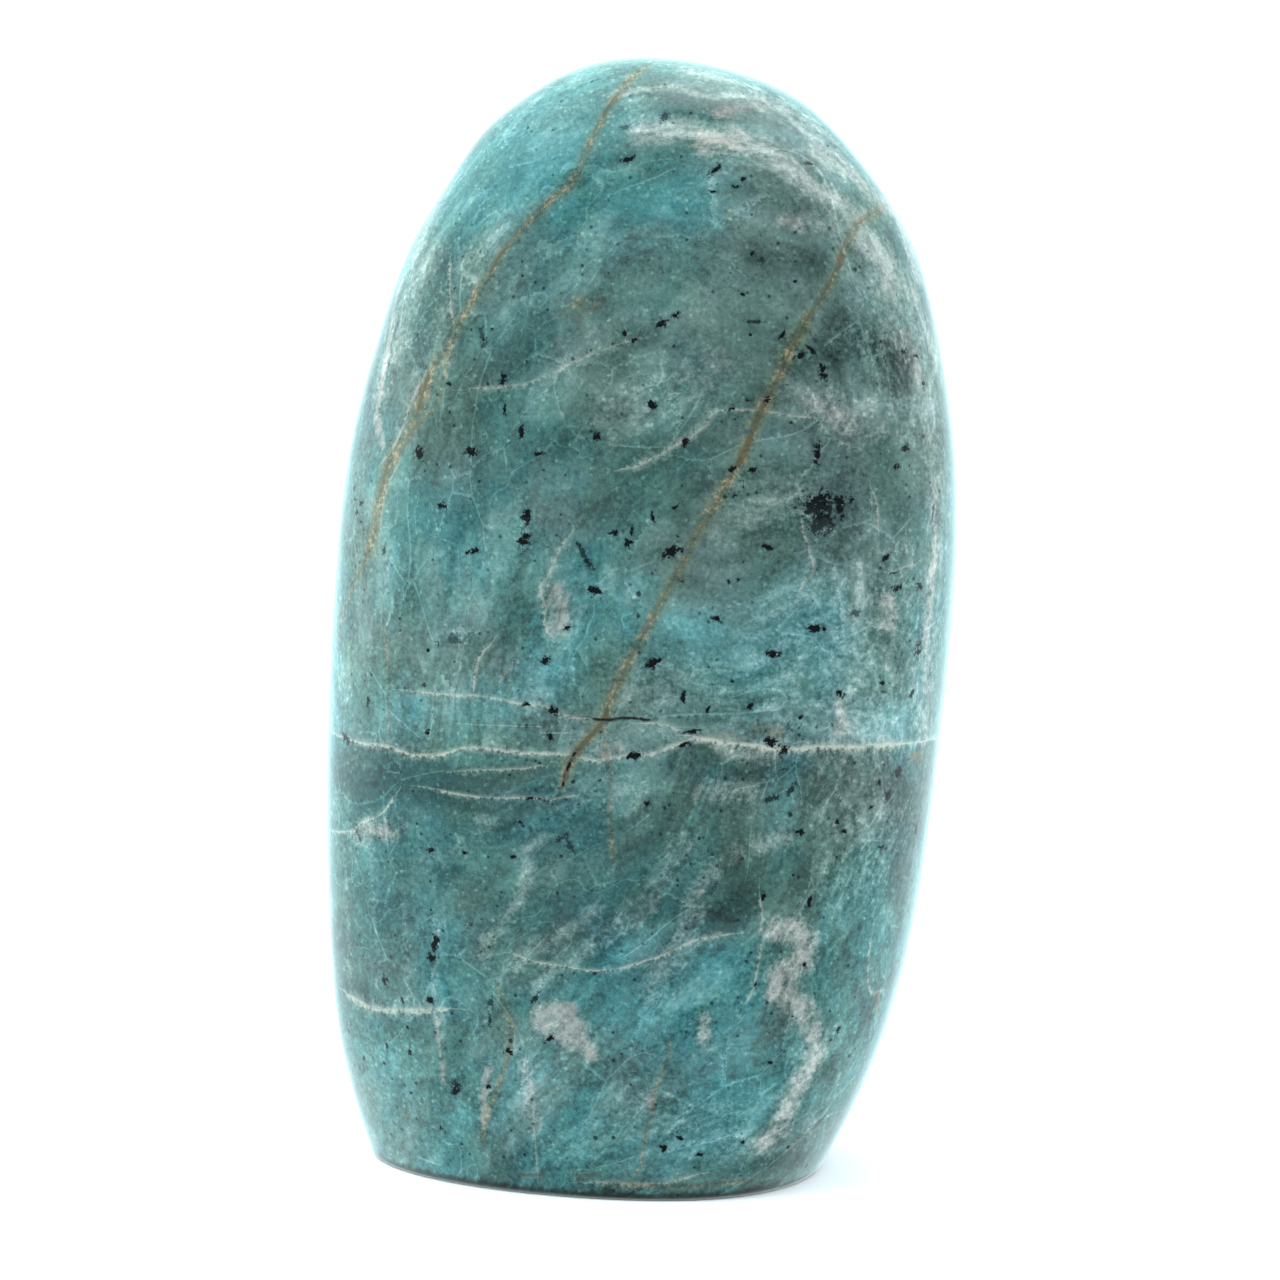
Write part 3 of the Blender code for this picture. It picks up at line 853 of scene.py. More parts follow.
@dataclass
class Surface:
    """The stone's surface, on which markings are seated and measured."""

    points: np.ndarray
    normals: np.ndarray
    faces: list[tuple[int, ...]]
    camera: Camera
    route_step: float = 6.0
    tree: BVHTree = field(init=False)

    def __post_init__(self) -> None:
        """Sorts the faces for ray casting."""
        self.tree = BVHTree.FromPolygons(self.points.tolist(), self.faces)

    def seat(self, pixels: np.ndarray, view: View) -> np.ndarray:
        """Where the rays through pixels of a picture meet the stone.

        Args:
            pixels: rows of x, y.
            view: the picture.

        Returns:
            Rows of x, y, z in millimetres, without the rays that miss the stone.
        """
        place, directions = self.camera.rays(pixels, view)
        hits = (self.tree.ray_cast(Vector(place), Vector(direction))[0] for direction in directions)
        return np.array([tuple(hit) for hit in hits if hit is not None]).reshape(-1, 3)

    def near(self, places: np.ndarray, reach: float) -> np.ndarray:
        """Numbers of the vertices inside the places' box, grown by reach.

        Args:
            places: rows of x, y, z.
            reach: how far the box grows on every side.

        Returns:
            Vertex numbers.
        """
        inside = (self.points > places.min(axis=0) - reach) & (self.points < places.max(axis=0) + reach)
        return np.flatnonzero(inside.all(axis=1))

    def beside(self, route: np.ndarray, reach: float) -> tuple[np.ndarray, np.ndarray, np.ndarray]:
        """How far each nearby vertex lies from a route, and on which side.

        The vertex is dropped onto the nearest piece of the route. The side is the sign of
        (piece x offset) . normal, so that it changes smoothly through zero on the route.

        Args:
            route: points on the surface.
            reach: the farthest distance that matters.

        Returns:
            Vertex numbers, their signed distances, and how far along the route they lie, 0 to 1.
        """
        numbers = self.near(route, reach)
        points = self.points[numbers]
        start, piece = route[:-1], np.diff(route, axis=0)
        offset = points[:, None] - start
        share = np.clip(np.einsum("nmk,mk->nm", offset, piece) / (np.sum(piece**2, axis=1) + TINY), 0, 1)
        gap = offset - share[..., None] * piece
        square = np.sum(gap**2, axis=-1)
        best = square.argmin(axis=1)
        row = np.arange(len(numbers))
        side = np.sign(np.sum(np.cross(piece[best], gap[row, best]) * self.normals[numbers], axis=1))
        return numbers, side * np.sqrt(square[row, best]), (best + share[row, best]) / len(piece)


@dataclass
class Markings:
    """Works the listed markings out into numbers for each vertex."""

    surface: Surface
    band_reach: float = 1.8
    line_reach: float = 4.0
    line_clearance: float = 5.0
    line_taper: float = 0.08
    line_end: float = 0.35
    line_fade: float = 0.7
    fleck_margin: float = 1.2
    fleck_spread: float = 1.45
    pixels_per_mm: float = 6.93

    def band_fields(self, bands: tuple[Band, ...]) -> dict[str, np.ndarray]:
        """How strongly each tone shows at each vertex.

        A band counts in full on its middle line, and fades by a smooth step out to band_reach
        times its half width. Where bands of one tone overlap, the stronger one counts.

        Args:
            bands: the bands of all tones.

        Returns:
            A field of values from 0 to 1 for each tone's name.
        """
        fields = {tone.value: np.zeros(len(self.surface.points)) for tone in Tone}
        for band in bands:
            route = self.surface.seat(smooth_route(band.route, self.surface.route_step), band.view)
            if len(route) < 2:
                continue
            width = band.half_width / self.pixels_per_mm
            numbers, side, _ = self.surface.beside(route, self.band_reach * width)
            share = band.strength * (1 - smooth_step(0, self.band_reach * width, np.abs(side)))
            tone = fields[band.tone.value]
            tone[numbers] = np.maximum(tone[numbers], share)
        return fields

    def line_fields(self, lines: tuple[Line, ...]) -> dict[str, np.ndarray]:
        """Signed distance, half width and strength of the nearest line, in layers.

        Lines that come close to each other go into different layers, so that the signed
        distance in one layer never jumps from one line's side to another's. A line thins to
        line_end of its width over line_taper of its length at both ends.

        Args:
            lines: all thin lines.

        Returns:
            Rows of (distance, half width, strength) for each layer's name.
        """
        names = [name for seam in Seam for name in seam.layers()]
        fields = {name: np.zeros((len(self.surface.points), 3)) for name in names}
        taken: dict[str, list[np.ndarray]] = {name: [] for name in names}
        for line in lines:
            route = self.surface.seat(smooth_route(line.route, self.surface.route_step), line.view)
            if len(route) < 2:
                continue
            name = self.free_layer(route, line.seam, taken)
            taken[name].append(route)
            numbers, side, along = self.surface.beside(route, self.line_reach)
            rows = fields[name]
            closer = (rows[numbers, 2] == 0) | (np.abs(side) < np.abs(rows[numbers, 0]))
            numbers, side, along = numbers[closer], side[closer], along[closer]
            taper = smooth_step(0, self.line_taper, along) * smooth_step(0, self.line_taper, 1 - along)
            fade = 1 - smooth_step(self.line_fade * self.line_reach, self.line_reach, np.abs(side))
            rows[numbers, 0] = side
            rows[numbers, 1] = line.half_width * (self.line_end + (1 - self.line_end) * taper)
            rows[numbers, 2] = line.strength * fade
        return fields

    def free_layer(self, route: np.ndarray, seam: Seam, taken: dict[str, list[np.ndarray]]) -> str:
        """The layer of a seam's kind in which a route keeps farthest from the earlier ones.

        Args:
            route: points on the surface.
            seam: the line's kind.
            taken: the routes already in each layer.

        Returns:
            The name of the first layer that is clear, or else of the clearest.
        """
        room = {}
        for name in seam.layers():
            gaps = [np.linalg.norm(route[:, None] - other, axis=-1).min() for other in taken[name]]
            room[name] = min(gaps, default=np.inf)
            if room[name] > self.line_clearance:
                return name
        return max(room, key=room.get)

    def fleck_fields(self, flecks: tuple[Fleck, ...]) -> dict[str, np.ndarray]:
        """Place within the nearest fleck, in layers.

        The place is (u, v), the distance along and across the fleck over its half length and
        half width, so the fleck's edge is where u^2 + v^2 = 1. Flecks whose surroundings
        overlap go into different layers.

        Args:
            flecks: all dark flecks.

        Returns:
            Rows of (u, v, darkness) for each layer's name. Darkness runs from 1 to 2 near a
            fleck and is 0 elsewhere.
        """
        empty = np.zeros((len(self.surface.points), 3))
        fields = {f"fleck_{layer}": empty.copy() for layer in range(FLECK_LAYERS)}
        skipped = 0
        for fleck in flecks:
            seat = self.surface.seat(np.array([[fleck.x, fleck.y]]), fleck.view)
            if len(seat) == 0:
                continue
            long, wide = fleck.half_length / self.pixels_per_mm, fleck.half_width / self.pixels_per_mm
            radius = self.fleck_spread * max(long, wide) + self.fleck_margin
            numbers = self.surface.near(seat, radius)
            numbers = numbers[np.linalg.norm(self.surface.points[numbers] - seat, axis=1) < radius]
            free = [rows for rows in fields.values() if not rows[numbers, 2].any()]
            if not free:
                skipped += 1
                continue
            normal = self.surface.normals[numbers].mean(axis=0)
            _, right, up, _ = self.surface.camera.axes(fleck.view)
            turn = np.radians(fleck.turn)
            along = np.cos(turn) * right + np.sin(turn) * up
            along -= (along @ normal) * normal
            along /= np.linalg.norm(along)
            across = np.cross(normal, along)
            offset = self.surface.points[numbers] - seat
            free[0][numbers] = np.stack([offset @ along / long, offset @ across / wide,
                                         np.full(len(numbers), 1 + fleck.darkness)], axis=-1)
        LOG.info("flecks: %d drawn, %d left out for want of a layer", len(flecks) - skipped, skipped)
        return fields


@dataclass(frozen=True)
class Grain:
    """The directions that the stone's streaks run in, as smooth coordinates in millimetres.

    Above the main seam the streaks make an arch: they run round a centre where they are over
    it, and straight down from there. Under the seam they stand upright. In both, those near
    the middle lean up to the right.
    """

    centre: Pair = (8.7, 117.0)
    core: float = 16.0
    mean_radius: float = 20.0
    spring_softness: float = 9.0
    upper_slant: float = 0.8
    slant_depth: float = 26.0
    warp: float = 2.2
    warp_length: float = 11.0
    warp_seeds: tuple[int, int, int] = (21, 22, 23)
    lean_behind: float = 0.45
    slant: float = 0.72
    slant_middle: float = -1.0
    slant_reach: float = 24.0
    slant_height: float = 34.0
    change_width: float = 6.0

    def warped(self, points: np.ndarray) -> np.ndarray:
        """The points moved a little by slow noise, so that no streak runs quite true."""
        moves = [GrainNoise(seed).at(points, self.warp_length) for seed in self.warp_seeds]
        return points + self.warp * np.stack(moves, axis=-1)

    def upper(self, points: np.ndarray) -> np.ndarray:
        """Coordinates of the arch.

        With h the height over the centre, the part over it is r = (h + sqrt(h^2 + s^2)) / 2 and
        the part under it is h - r. The first coordinate is the distance from the centre in x and
        r, and the others are the sine and the cosine of the angle there, times a mean radius,
        the first of them plus y and the second plus h - r.

        Args:
            points: rows of x, y, z.

        Returns:
            Rows of three coordinates, the first across the streaks.
        """
        points = self.warped(points)
        height = points[:, 2] - self.centre[1]
        over = (height + np.sqrt(height**2 + self.spring_softness**2)) / 2
        under = height - over
        lean = self.upper_slant * np.exp(-(((points[:, 0] - self.slant_middle) / self.slant_reach) ** 2))
        across = points[:, 0] - self.centre[0] - lean * self.slant_depth * np.tanh(under / self.slant_depth)
        away = np.sqrt(across**2 + over**2 + self.core**2)
        return np.stack([away + self.lean_behind * points[:, 1],
                         self.mean_radius * across / away + points[:, 1],
                         self.mean_radius * over / away + under], axis=-1)

    def lower(self, points: np.ndarray) -> np.ndarray:
        """Place across the streaks, which lean by slant times a bell curve of x, height, and depth.

        Args:
            points: rows of x, y, z.

        Returns:
            Rows of three coordinates, the first across the streaks.
        """
        points = self.warped(points)
        lean = self.slant * np.exp(-(((points[:, 0] - self.slant_middle) / self.slant_reach) ** 2))
        across = points[:, 0] - lean * (points[:, 2] - self.slant_height) + self.lean_behind * points[:, 1]
        return np.stack([across, points[:, 2], points[:, 1]], axis=-1)

    def upper_share(self, points: np.ndarray, split: np.ndarray) -> np.ndarray:
        """Half, plus the height over the main seam divided by a width: over half is upper grain."""
        return HALF + (points[:, 2] - split) / self.change_width


@dataclass(frozen=True)
class Cloud:
    """One slow noise along the grain: its seed, its lengths across and along, and its layers."""

    seed: int
    lengths: Pair
    layers: int = 3
    fade: float = 0.6

    def at(self, points: np.ndarray) -> np.ndarray:
        """The noise at rows of coordinates."""
        return GrainNoise(self.seed).layered(points, self.lengths, self.layers, self.fade)


@dataclass(frozen=True)
class Clouds:
    """The slow changes in the stone: how light it is, how blue, and where pale threads run."""

    tone: Cloud = Cloud(31, (8.0, 11.0))
    tone_gain: float = 0.03
    mottle: Cloud = Cloud(32, (3.0, 4.2), 2)
    mottle_gain: float = 0.018
    milk: Cloud = Cloud(33, (4.5, 7.5))
    milk_gain: float = 0.12
    milk_low: float = 0.5
    milk_high: float = 1.5
    hue: Cloud = Cloud(34, (9.0, 14.0), 4, 0.7)
    thread: Cloud = Cloud(35, (7.0, 10.5))
    olive: Cloud = Cloud(36, (9.0, 9.0))
    lower_darkening: float = 0.04

    def fields(self, grain: np.ndarray) -> np.ndarray:
        """Lightness, hue and thread noise.

        Lightness is slow noise, plus mottling, plus milk where a third noise passes a smooth step.

        Args:
            grain: rows of grain coordinates.

        Returns:
            Rows of three numbers.
        """
        milk = smooth_step(self.milk_low, self.milk_high, self.milk.at(grain))
        tone = (self.tone_gain * self.tone.at(grain) + self.mottle_gain * self.mottle.at(grain)
                + self.milk_gain * milk)
        return np.stack([tone, self.hue.at(grain), self.thread.at(grain)], axis=-1)


Socket = bpy.types.NodeSocket
Colour = tuple[float, float, float, float]
Ramp = tuple[tuple[float, Colour], ...]


def linear(red: float, green: float, blue: float) -> Colour:
    """A screen colour as the linear values that shaders take.

    Below 0.04045 a share is divided by 12.92, and above it is ((share + 0.055) / 1.055)^2.4.

    Args:
        red: 0 to 255.
        green: 0 to 255.
        blue: 0 to 255.

    Returns:
        The three linear values, and 1 for opaque.
    """
    share = np.array([red, green, blue]) / 255
    value = np.where(share <= 0.04045, share / 12.92, ((share + 0.055) / 1.055) ** 2.4)
    return (*value.tolist(), 1.0)


@dataclass
class Graph:
    """Adds nodes to a material's or a world's tree and joins them up."""

    tree: bpy.types.NodeTree

    def put(self, socket: Socket, value: Socket | Colour | float) -> None:
        """Joins a socket to an input, or sets the input to a constant.

        Args:
            socket: the input.
            value: what goes into it.
        """
        if isinstance(value, Socket):
            self.tree.links.new(value, socket)
        else:
            socket.default_value = value

    def node(self, kind: str, inputs: dict[str | int, Socket | Colour | float],
             **options: str) -> bpy.types.Node:
        """A new node.

        Args:
            kind: Blender's name for it, without the words that all shader nodes' names start with.
            inputs: what goes into its inputs, by name or place.
            options: its own settings.

        Returns:
            The node.
        """
        node = self.tree.nodes.new(f"ShaderNode{kind}")
        for name, value in options.items():
            setattr(node, name, value)
        for name, value in inputs.items():
            self.put(node.inputs[name], value)
        return node

    def math(self, operation: str, *numbers: Socket | float) -> Socket:
        """One arithmetic step on up to three numbers, by Blender's name for it."""
        return self.node("Math", dict(enumerate(numbers)), operation=operation).outputs[0]

    def times(self, first: Socket | float, second: Socket | float) -> Socket:
        """A number times another."""
        return self.math("MULTIPLY", first, second)

    def total(self, *numbers: Socket | float) -> Socket:
        """The sum of several numbers."""
        return functools.reduce(functools.partial(self.math, "ADD"), numbers)

    def centred(self, noise: Socket, gain: float) -> Socket:
        """A noise from 0 to 1 taken about zero, times a gain: gain (noise - 1/2)."""
        return self.math("MULTIPLY_ADD", noise, gain, -HALF * gain)

    def step(self, value: Socket, low: Socket | float, high: Socket | float) -> Socket:
        """A smooth step from 0 at low to 1 at high."""
        return self.node("MapRange", {"Value": value, "From Min": low, "From Max": high},
                         interpolation_type="SMOOTHSTEP").outputs[0]

    def blend(self, share: Socket | float, first: Socket | Colour, second: Socket | Colour) -> Socket:
        """The first colour turning into the second as share goes from 0 to 1."""
        return self.node("Mix", {0: share, 6: first, 7: second}, data_type="RGBA").outputs[2]

    def between(self, share: Socket, first: Socket | float, second: Socket | float) -> Socket:
        """The first number turning into the second as share goes from 0 to 1."""
        return self.node("Mix", {0: share, 2: first, 3: second}, data_type="FLOAT").outputs[0]

    def choice(self, share: Socket, first: Socket, second: Socket) -> Socket:
        """The first vector where share is up to a half, and the second elsewhere."""
        chosen = self.math("GREATER_THAN", share, HALF)
        return self.node("Mix", {0: chosen, 4: first, 5: second}, data_type="VECTOR").outputs[1]

    def field(self, name: str, output: str = "Fac") -> Socket:
        """One of the mesh's fields: numbers as Fac, and rows of three as Vector."""
        return self.node("Attribute", {}, attribute_name=name).outputs[output]

    def split(self, vector: Socket) -> tuple[Socket, Socket, Socket]:
        """A vector's three parts."""
        return tuple(self.node("SeparateXYZ", {0: vector}).outputs)

    def stretched(self, vector: Socket, lengths: Triple) -> Socket:
        """A vector whose parts are divided by lengths, so that noise of scale 1 has those sizes."""
        scale = tuple(1 / length for length in lengths)
        return self.node("Mapping", {"Vector": vector, "Scale": scale}).outputs[0]

    def noise(self, vector: Socket, lengths: Triple, detail: float, roughness: float) -> Socket:
        """Cloudy noise from 0 to 1.

        Args:
            vector: coordinates.
            lengths: feature sizes along the three coordinates.
            detail: how many finer layers are added.
            roughness: how strong they are.

        Returns:
            The noise.
        """
        return self.node("TexNoise", {"Vector": self.stretched(vector, lengths), "Scale": 1.0,
                                      "Detail": detail, "Roughness": roughness}).outputs["Fac"]

    def cells(self, vector: Socket, lengths: Triple) -> tuple[Socket, Socket]:
        """Space parted into cells round random points.

        Args:
            vector: coordinates.
            lengths: the cells' sizes along the three coordinates.

        Returns:
            The distance to the cell's point over the cell size, and a number that each cell keeps.
        """
        node = self.node("TexVoronoi", {"Vector": self.stretched(vector, lengths), "Scale": 1.0})
        return node.outputs["Distance"], self.split(node.outputs["Color"])[0]

    def cell_wall(self, vector: Socket, lengths: Triple) -> Socket:
        """The distance to the nearest wall between such cells, over their size."""
        return self.node("TexVoronoi", {"Vector": self.stretched(vector, lengths), "Scale": 1.0},
                         feature="DISTANCE_TO_EDGE").outputs["Distance"]

    def shifted(self, vector: Socket, share: Socket, reach: float) -> Socket:
        """A vector moved by reach times (share - 1/2) in all three coordinates."""
        return self.node("VectorMath", {0: vector, 1: self.centred(share, reach)}, operation="ADD").outputs[0]

    def ramp(self, share: Socket, stops: Ramp) -> Socket:
        """Colours run through in order as share rises.

        Args:
            share: where on the ramp.
            stops: places from 0 to 1 and their colours.

        Returns:
            The colour.
        """
        node = self.node("ValToRGB", {0: share})
        elements = node.color_ramp.elements
        while len(elements) < len(stops):
            elements.new(HALF)
        for element, (place, colour) in zip(elements, stops):
            element.position = place
            element.color = colour
        return node.outputs[0]


@dataclass(frozen=True)
class Textures:
    """The noises that the stone's colours share, as the outputs of their nodes."""

    place: Socket
    streaks: Socket
    fine: Socket
    lumps: Socket
    cell: Socket
    cell_reach: Socket
    wall: Socket
    break_up: Socket


@dataclass(frozen=True)
class RaggedEdge:
    """How a drawn patch runs out.

    The grain breaks its edge up by gain, it fades between low and high, and it counts in full
    from where its field reaches full.
    """

    gain: float
    low: float
    high: float
    full: float = 0.3

    def patch(self, graph: Graph, tone: Tone, break_up: Socket) -> Socket:
        """A tone's field with its edges broken up by the grain.

        Args:
            graph: the material's nodes.
            tone: whose field is read.
            break_up: noise about zero.

        Returns:
            How strongly the tone shows: smooth_step(field + gain noise), and 0 off the patch.
        """
        field_value = graph.field(tone.value)
        broken = graph.math("MULTIPLY_ADD", break_up, self.gain, field_value)
        return graph.times(graph.step(broken, self.low, self.high), graph.step(field_value, 0.0, self.full))


@dataclass(frozen=True)
class SeamFinish:
    """How thin seams are painted. Reaches are in half widths of the line, and blurs in millimetres."""

    wander: float = 1.1
    streak_share: float = 0.4
    patchy_low: float = 0.38
    patchy_high: float = 0.6
    core_reach: float = 1.3
    core_blur: float = 0.05
    stained_plateau: float = 0.7
    white_plateau: float = 0.2
    halo_reach: float = 3.0
    halo_blur: float = 0.3
    stained_halo: float = 0.4
    white_halo: float = 0.25
    least_left: float = 0.2
    patchy_gain: float = 0.6
    white: Colour = linear(188, 193, 180)
    vein: Ramp = (
        (0.38, linear(48, 44, 34)), (0.46, linear(86, 80, 54)), (0.53, linear(108, 104, 76)),
        (0.6, linear(164, 152, 128)))
    rust: Colour = linear(78, 54, 34)
    haloed: Colour = linear(116, 128, 104)
    open_crack: Colour = linear(22, 20, 20)

    def paint(self, graph: Graph, noises: Textures, colour: Socket) -> tuple[Socket, Socket]:
        """Paints the thin seams over a colour: a halo, then a worn core; a crack is a core alone.

        Args:
            graph: the material's nodes.
            noises: the stone's noises.
            colour: what lies under the seams.

        Returns:
            The colour with the seams, and how open the surface is there.
        """
        wander = graph.centred(noises.fine, self.wander)
        mixed = graph.math("MULTIPLY_ADD", noises.streaks, self.streak_share,
                           graph.times(noises.fine, 1 - self.streak_share))
        patchy = graph.step(mixed, self.patchy_low, self.patchy_high)
        left = graph.math("MULTIPLY_ADD", patchy, self.patchy_gain, self.least_left)
        cores = {
            Seam.WHITE: self.white,
            Seam.OCHRE: graph.ramp(mixed, self.vein),
            Seam.RUST: self.rust,
            Seam.CRACK: self.open_crack,
        }
        opened: Socket | float = 0.0
        for seam in Seam:
            for name in seam.layers():
                side, width, strength = graph.split(graph.field(name, "Vector"))
                away = graph.math("ABSOLUTE", graph.math("ADD", side, wander))
                plateau = self.stained_plateau if seam in (Seam.OCHRE, Seam.RUST) else self.white_plateau
                core = graph.step(away, graph.math("MULTIPLY_ADD", width, self.core_reach, self.core_blur),
                                  graph.times(width, plateau))
                core = graph.times(core, strength)
                if seam is Seam.CRACK:
                    colour = graph.blend(core, colour, cores[seam])
                    opened = core
                    continue
                halo_end = graph.math("MULTIPLY_ADD", width, self.halo_reach, self.halo_blur)
                halo = graph.step(away, halo_end, width)
                halo = graph.times(graph.times(halo, strength), patchy)
                share, tint = ((self.white_halo, self.white) if seam is Seam.WHITE
                               else (self.stained_halo, self.haloed))
                colour = graph.blend(graph.times(halo, share), colour, tint)
                colour = graph.blend(graph.times(core, left), colour, cores[seam])
        return colour, opened


@dataclass(frozen=True)
class FleckFinish:
    """How dark flecks are painted: edges as shares of the fleck's own size, dots in metres."""

    jag: float = 3.8
    jag_shift: float = -1.75
    filled: Pair = (0.75, 0.9)
    edge: Pair = (1.12, 0.78)
    haze_edge: Pair = (2.0, 0.9)
    haze_share: float = 0.3
    dot_spacing: float = 0.003
    dots_kept: Pair = (0.95, 0.96)
    dot_jag: float = 0.05
    dot_edge: Pair = (0.16, 0.09)
    dot_share: float = 0.8
    black: Colour = linear(8, 12, 16)
    haze: Colour = linear(42, 66, 72)

    def paint(self, graph: Graph, noises: Textures, colour: Socket) -> tuple[Socket, Socket]:
        """Paints the dark flecks over a colour, and dots in one cell in twenty.

        Args:
            graph: the material's nodes.
            noises: the stone's noises.
            colour: what lies under the flecks.

        Returns:
            The colour with the flecks, and where they are.
        """
        jag = graph.math("MULTIPLY_ADD", noises.fine, self.jag, self.jag_shift)
        marks: Socket | float = 0.0
        for layer in range(FLECK_LAYERS):
            along, across, third = graph.split(graph.field(f"fleck_{layer}", "Vector"))
            square = graph.math("MULTIPLY_ADD", along, along, graph.times(across, across))
            away = graph.math("ADD", graph.math("SQRT", square), jag)
            inside = graph.step(third, *self.filled)
            darkness = graph.times(inside, graph.math("SUBTRACT", third, 1.0))
            mark = graph.times(graph.step(away, *self.edge), darkness)
            haze = graph.times(graph.step(away, *self.haze_edge), graph.times(inside, self.haze_share))
            colour = graph.blend(haze, colour, self.haze)
            colour = graph.blend(mark, colour, self.black)
            marks = graph.math("MAXIMUM", marks, mark)
        reach, cell = graph.cells(noises.place, (self.dot_spacing,) * 3)
        ragged = graph.math("MULTIPLY_ADD", jag, self.dot_jag, reach)
        dot = graph.times(graph.step(ragged, *self.dot_edge), graph.step(cell, *self.dots_kept))
        return graph.blend(graph.times(dot, self.dot_share), colour, self.black), marks


@dataclass(frozen=True)
class FootFinish:
    """The brown line and painted contact shadow round the foot's edge, and the sawn sole, in metres."""

    raggedness: float = 0.002
    edge: Pair = (0.0027, 0.0018)
    rim_and_shade_share: float = 0.75
    sole_edge: Pair = (0.4, 0.6)
    sawn_share: float = 0.55
    roughness: float = 0.6
    saw_waves: float = 5500.0
    saw_height: float = 0.5
    brown_rim_and_contact_shade: Colour = linear(38, 36, 30)
    sawn: Colour = linear(112, 142, 136)

    def sole(self, graph: Graph) -> Socket:
        """1 on the sawn sole and 0 elsewhere."""
        return graph.step(graph.field("sole"), *self.sole_edge)

    def paint(self, graph: Graph, noises: Textures, colour: Socket) -> Socket:
        """Darkens the stone round the foot's edge with a brown line and painted contact shadow, and makes the
        sole look sawn.

        Args:
            graph: the material's nodes.
            noises: the stone's noises.
            colour: the stone's colour.

        Returns:
            The colour with its foot.
        """
        height = graph.split(noises.place)[2]
        # Painted contact shadow: the lowest two or three millimetres turn almost black-brown, as shade where
        # the stone meets the floor.
        edge = graph.step(graph.math("MULTIPLY_ADD", noises.streaks, self.raggedness, height), *self.edge)
        colour = graph.blend(graph.times(edge, self.rim_and_shade_share), colour, self.brown_rim_and_contact_shade)
        return graph.blend(graph.times(self.sole(graph), self.sawn_share), colour, self.sawn)

    def saw_marks(self, graph: Graph, place: Socket) -> Socket:
        """Heights of the saw marks across the sole: saw_height times sin(saw_waves y)."""
        wave = graph.math("SINE", graph.times(graph.split(place)[1], self.saw_waves))
        return graph.times(wave, self.saw_height)


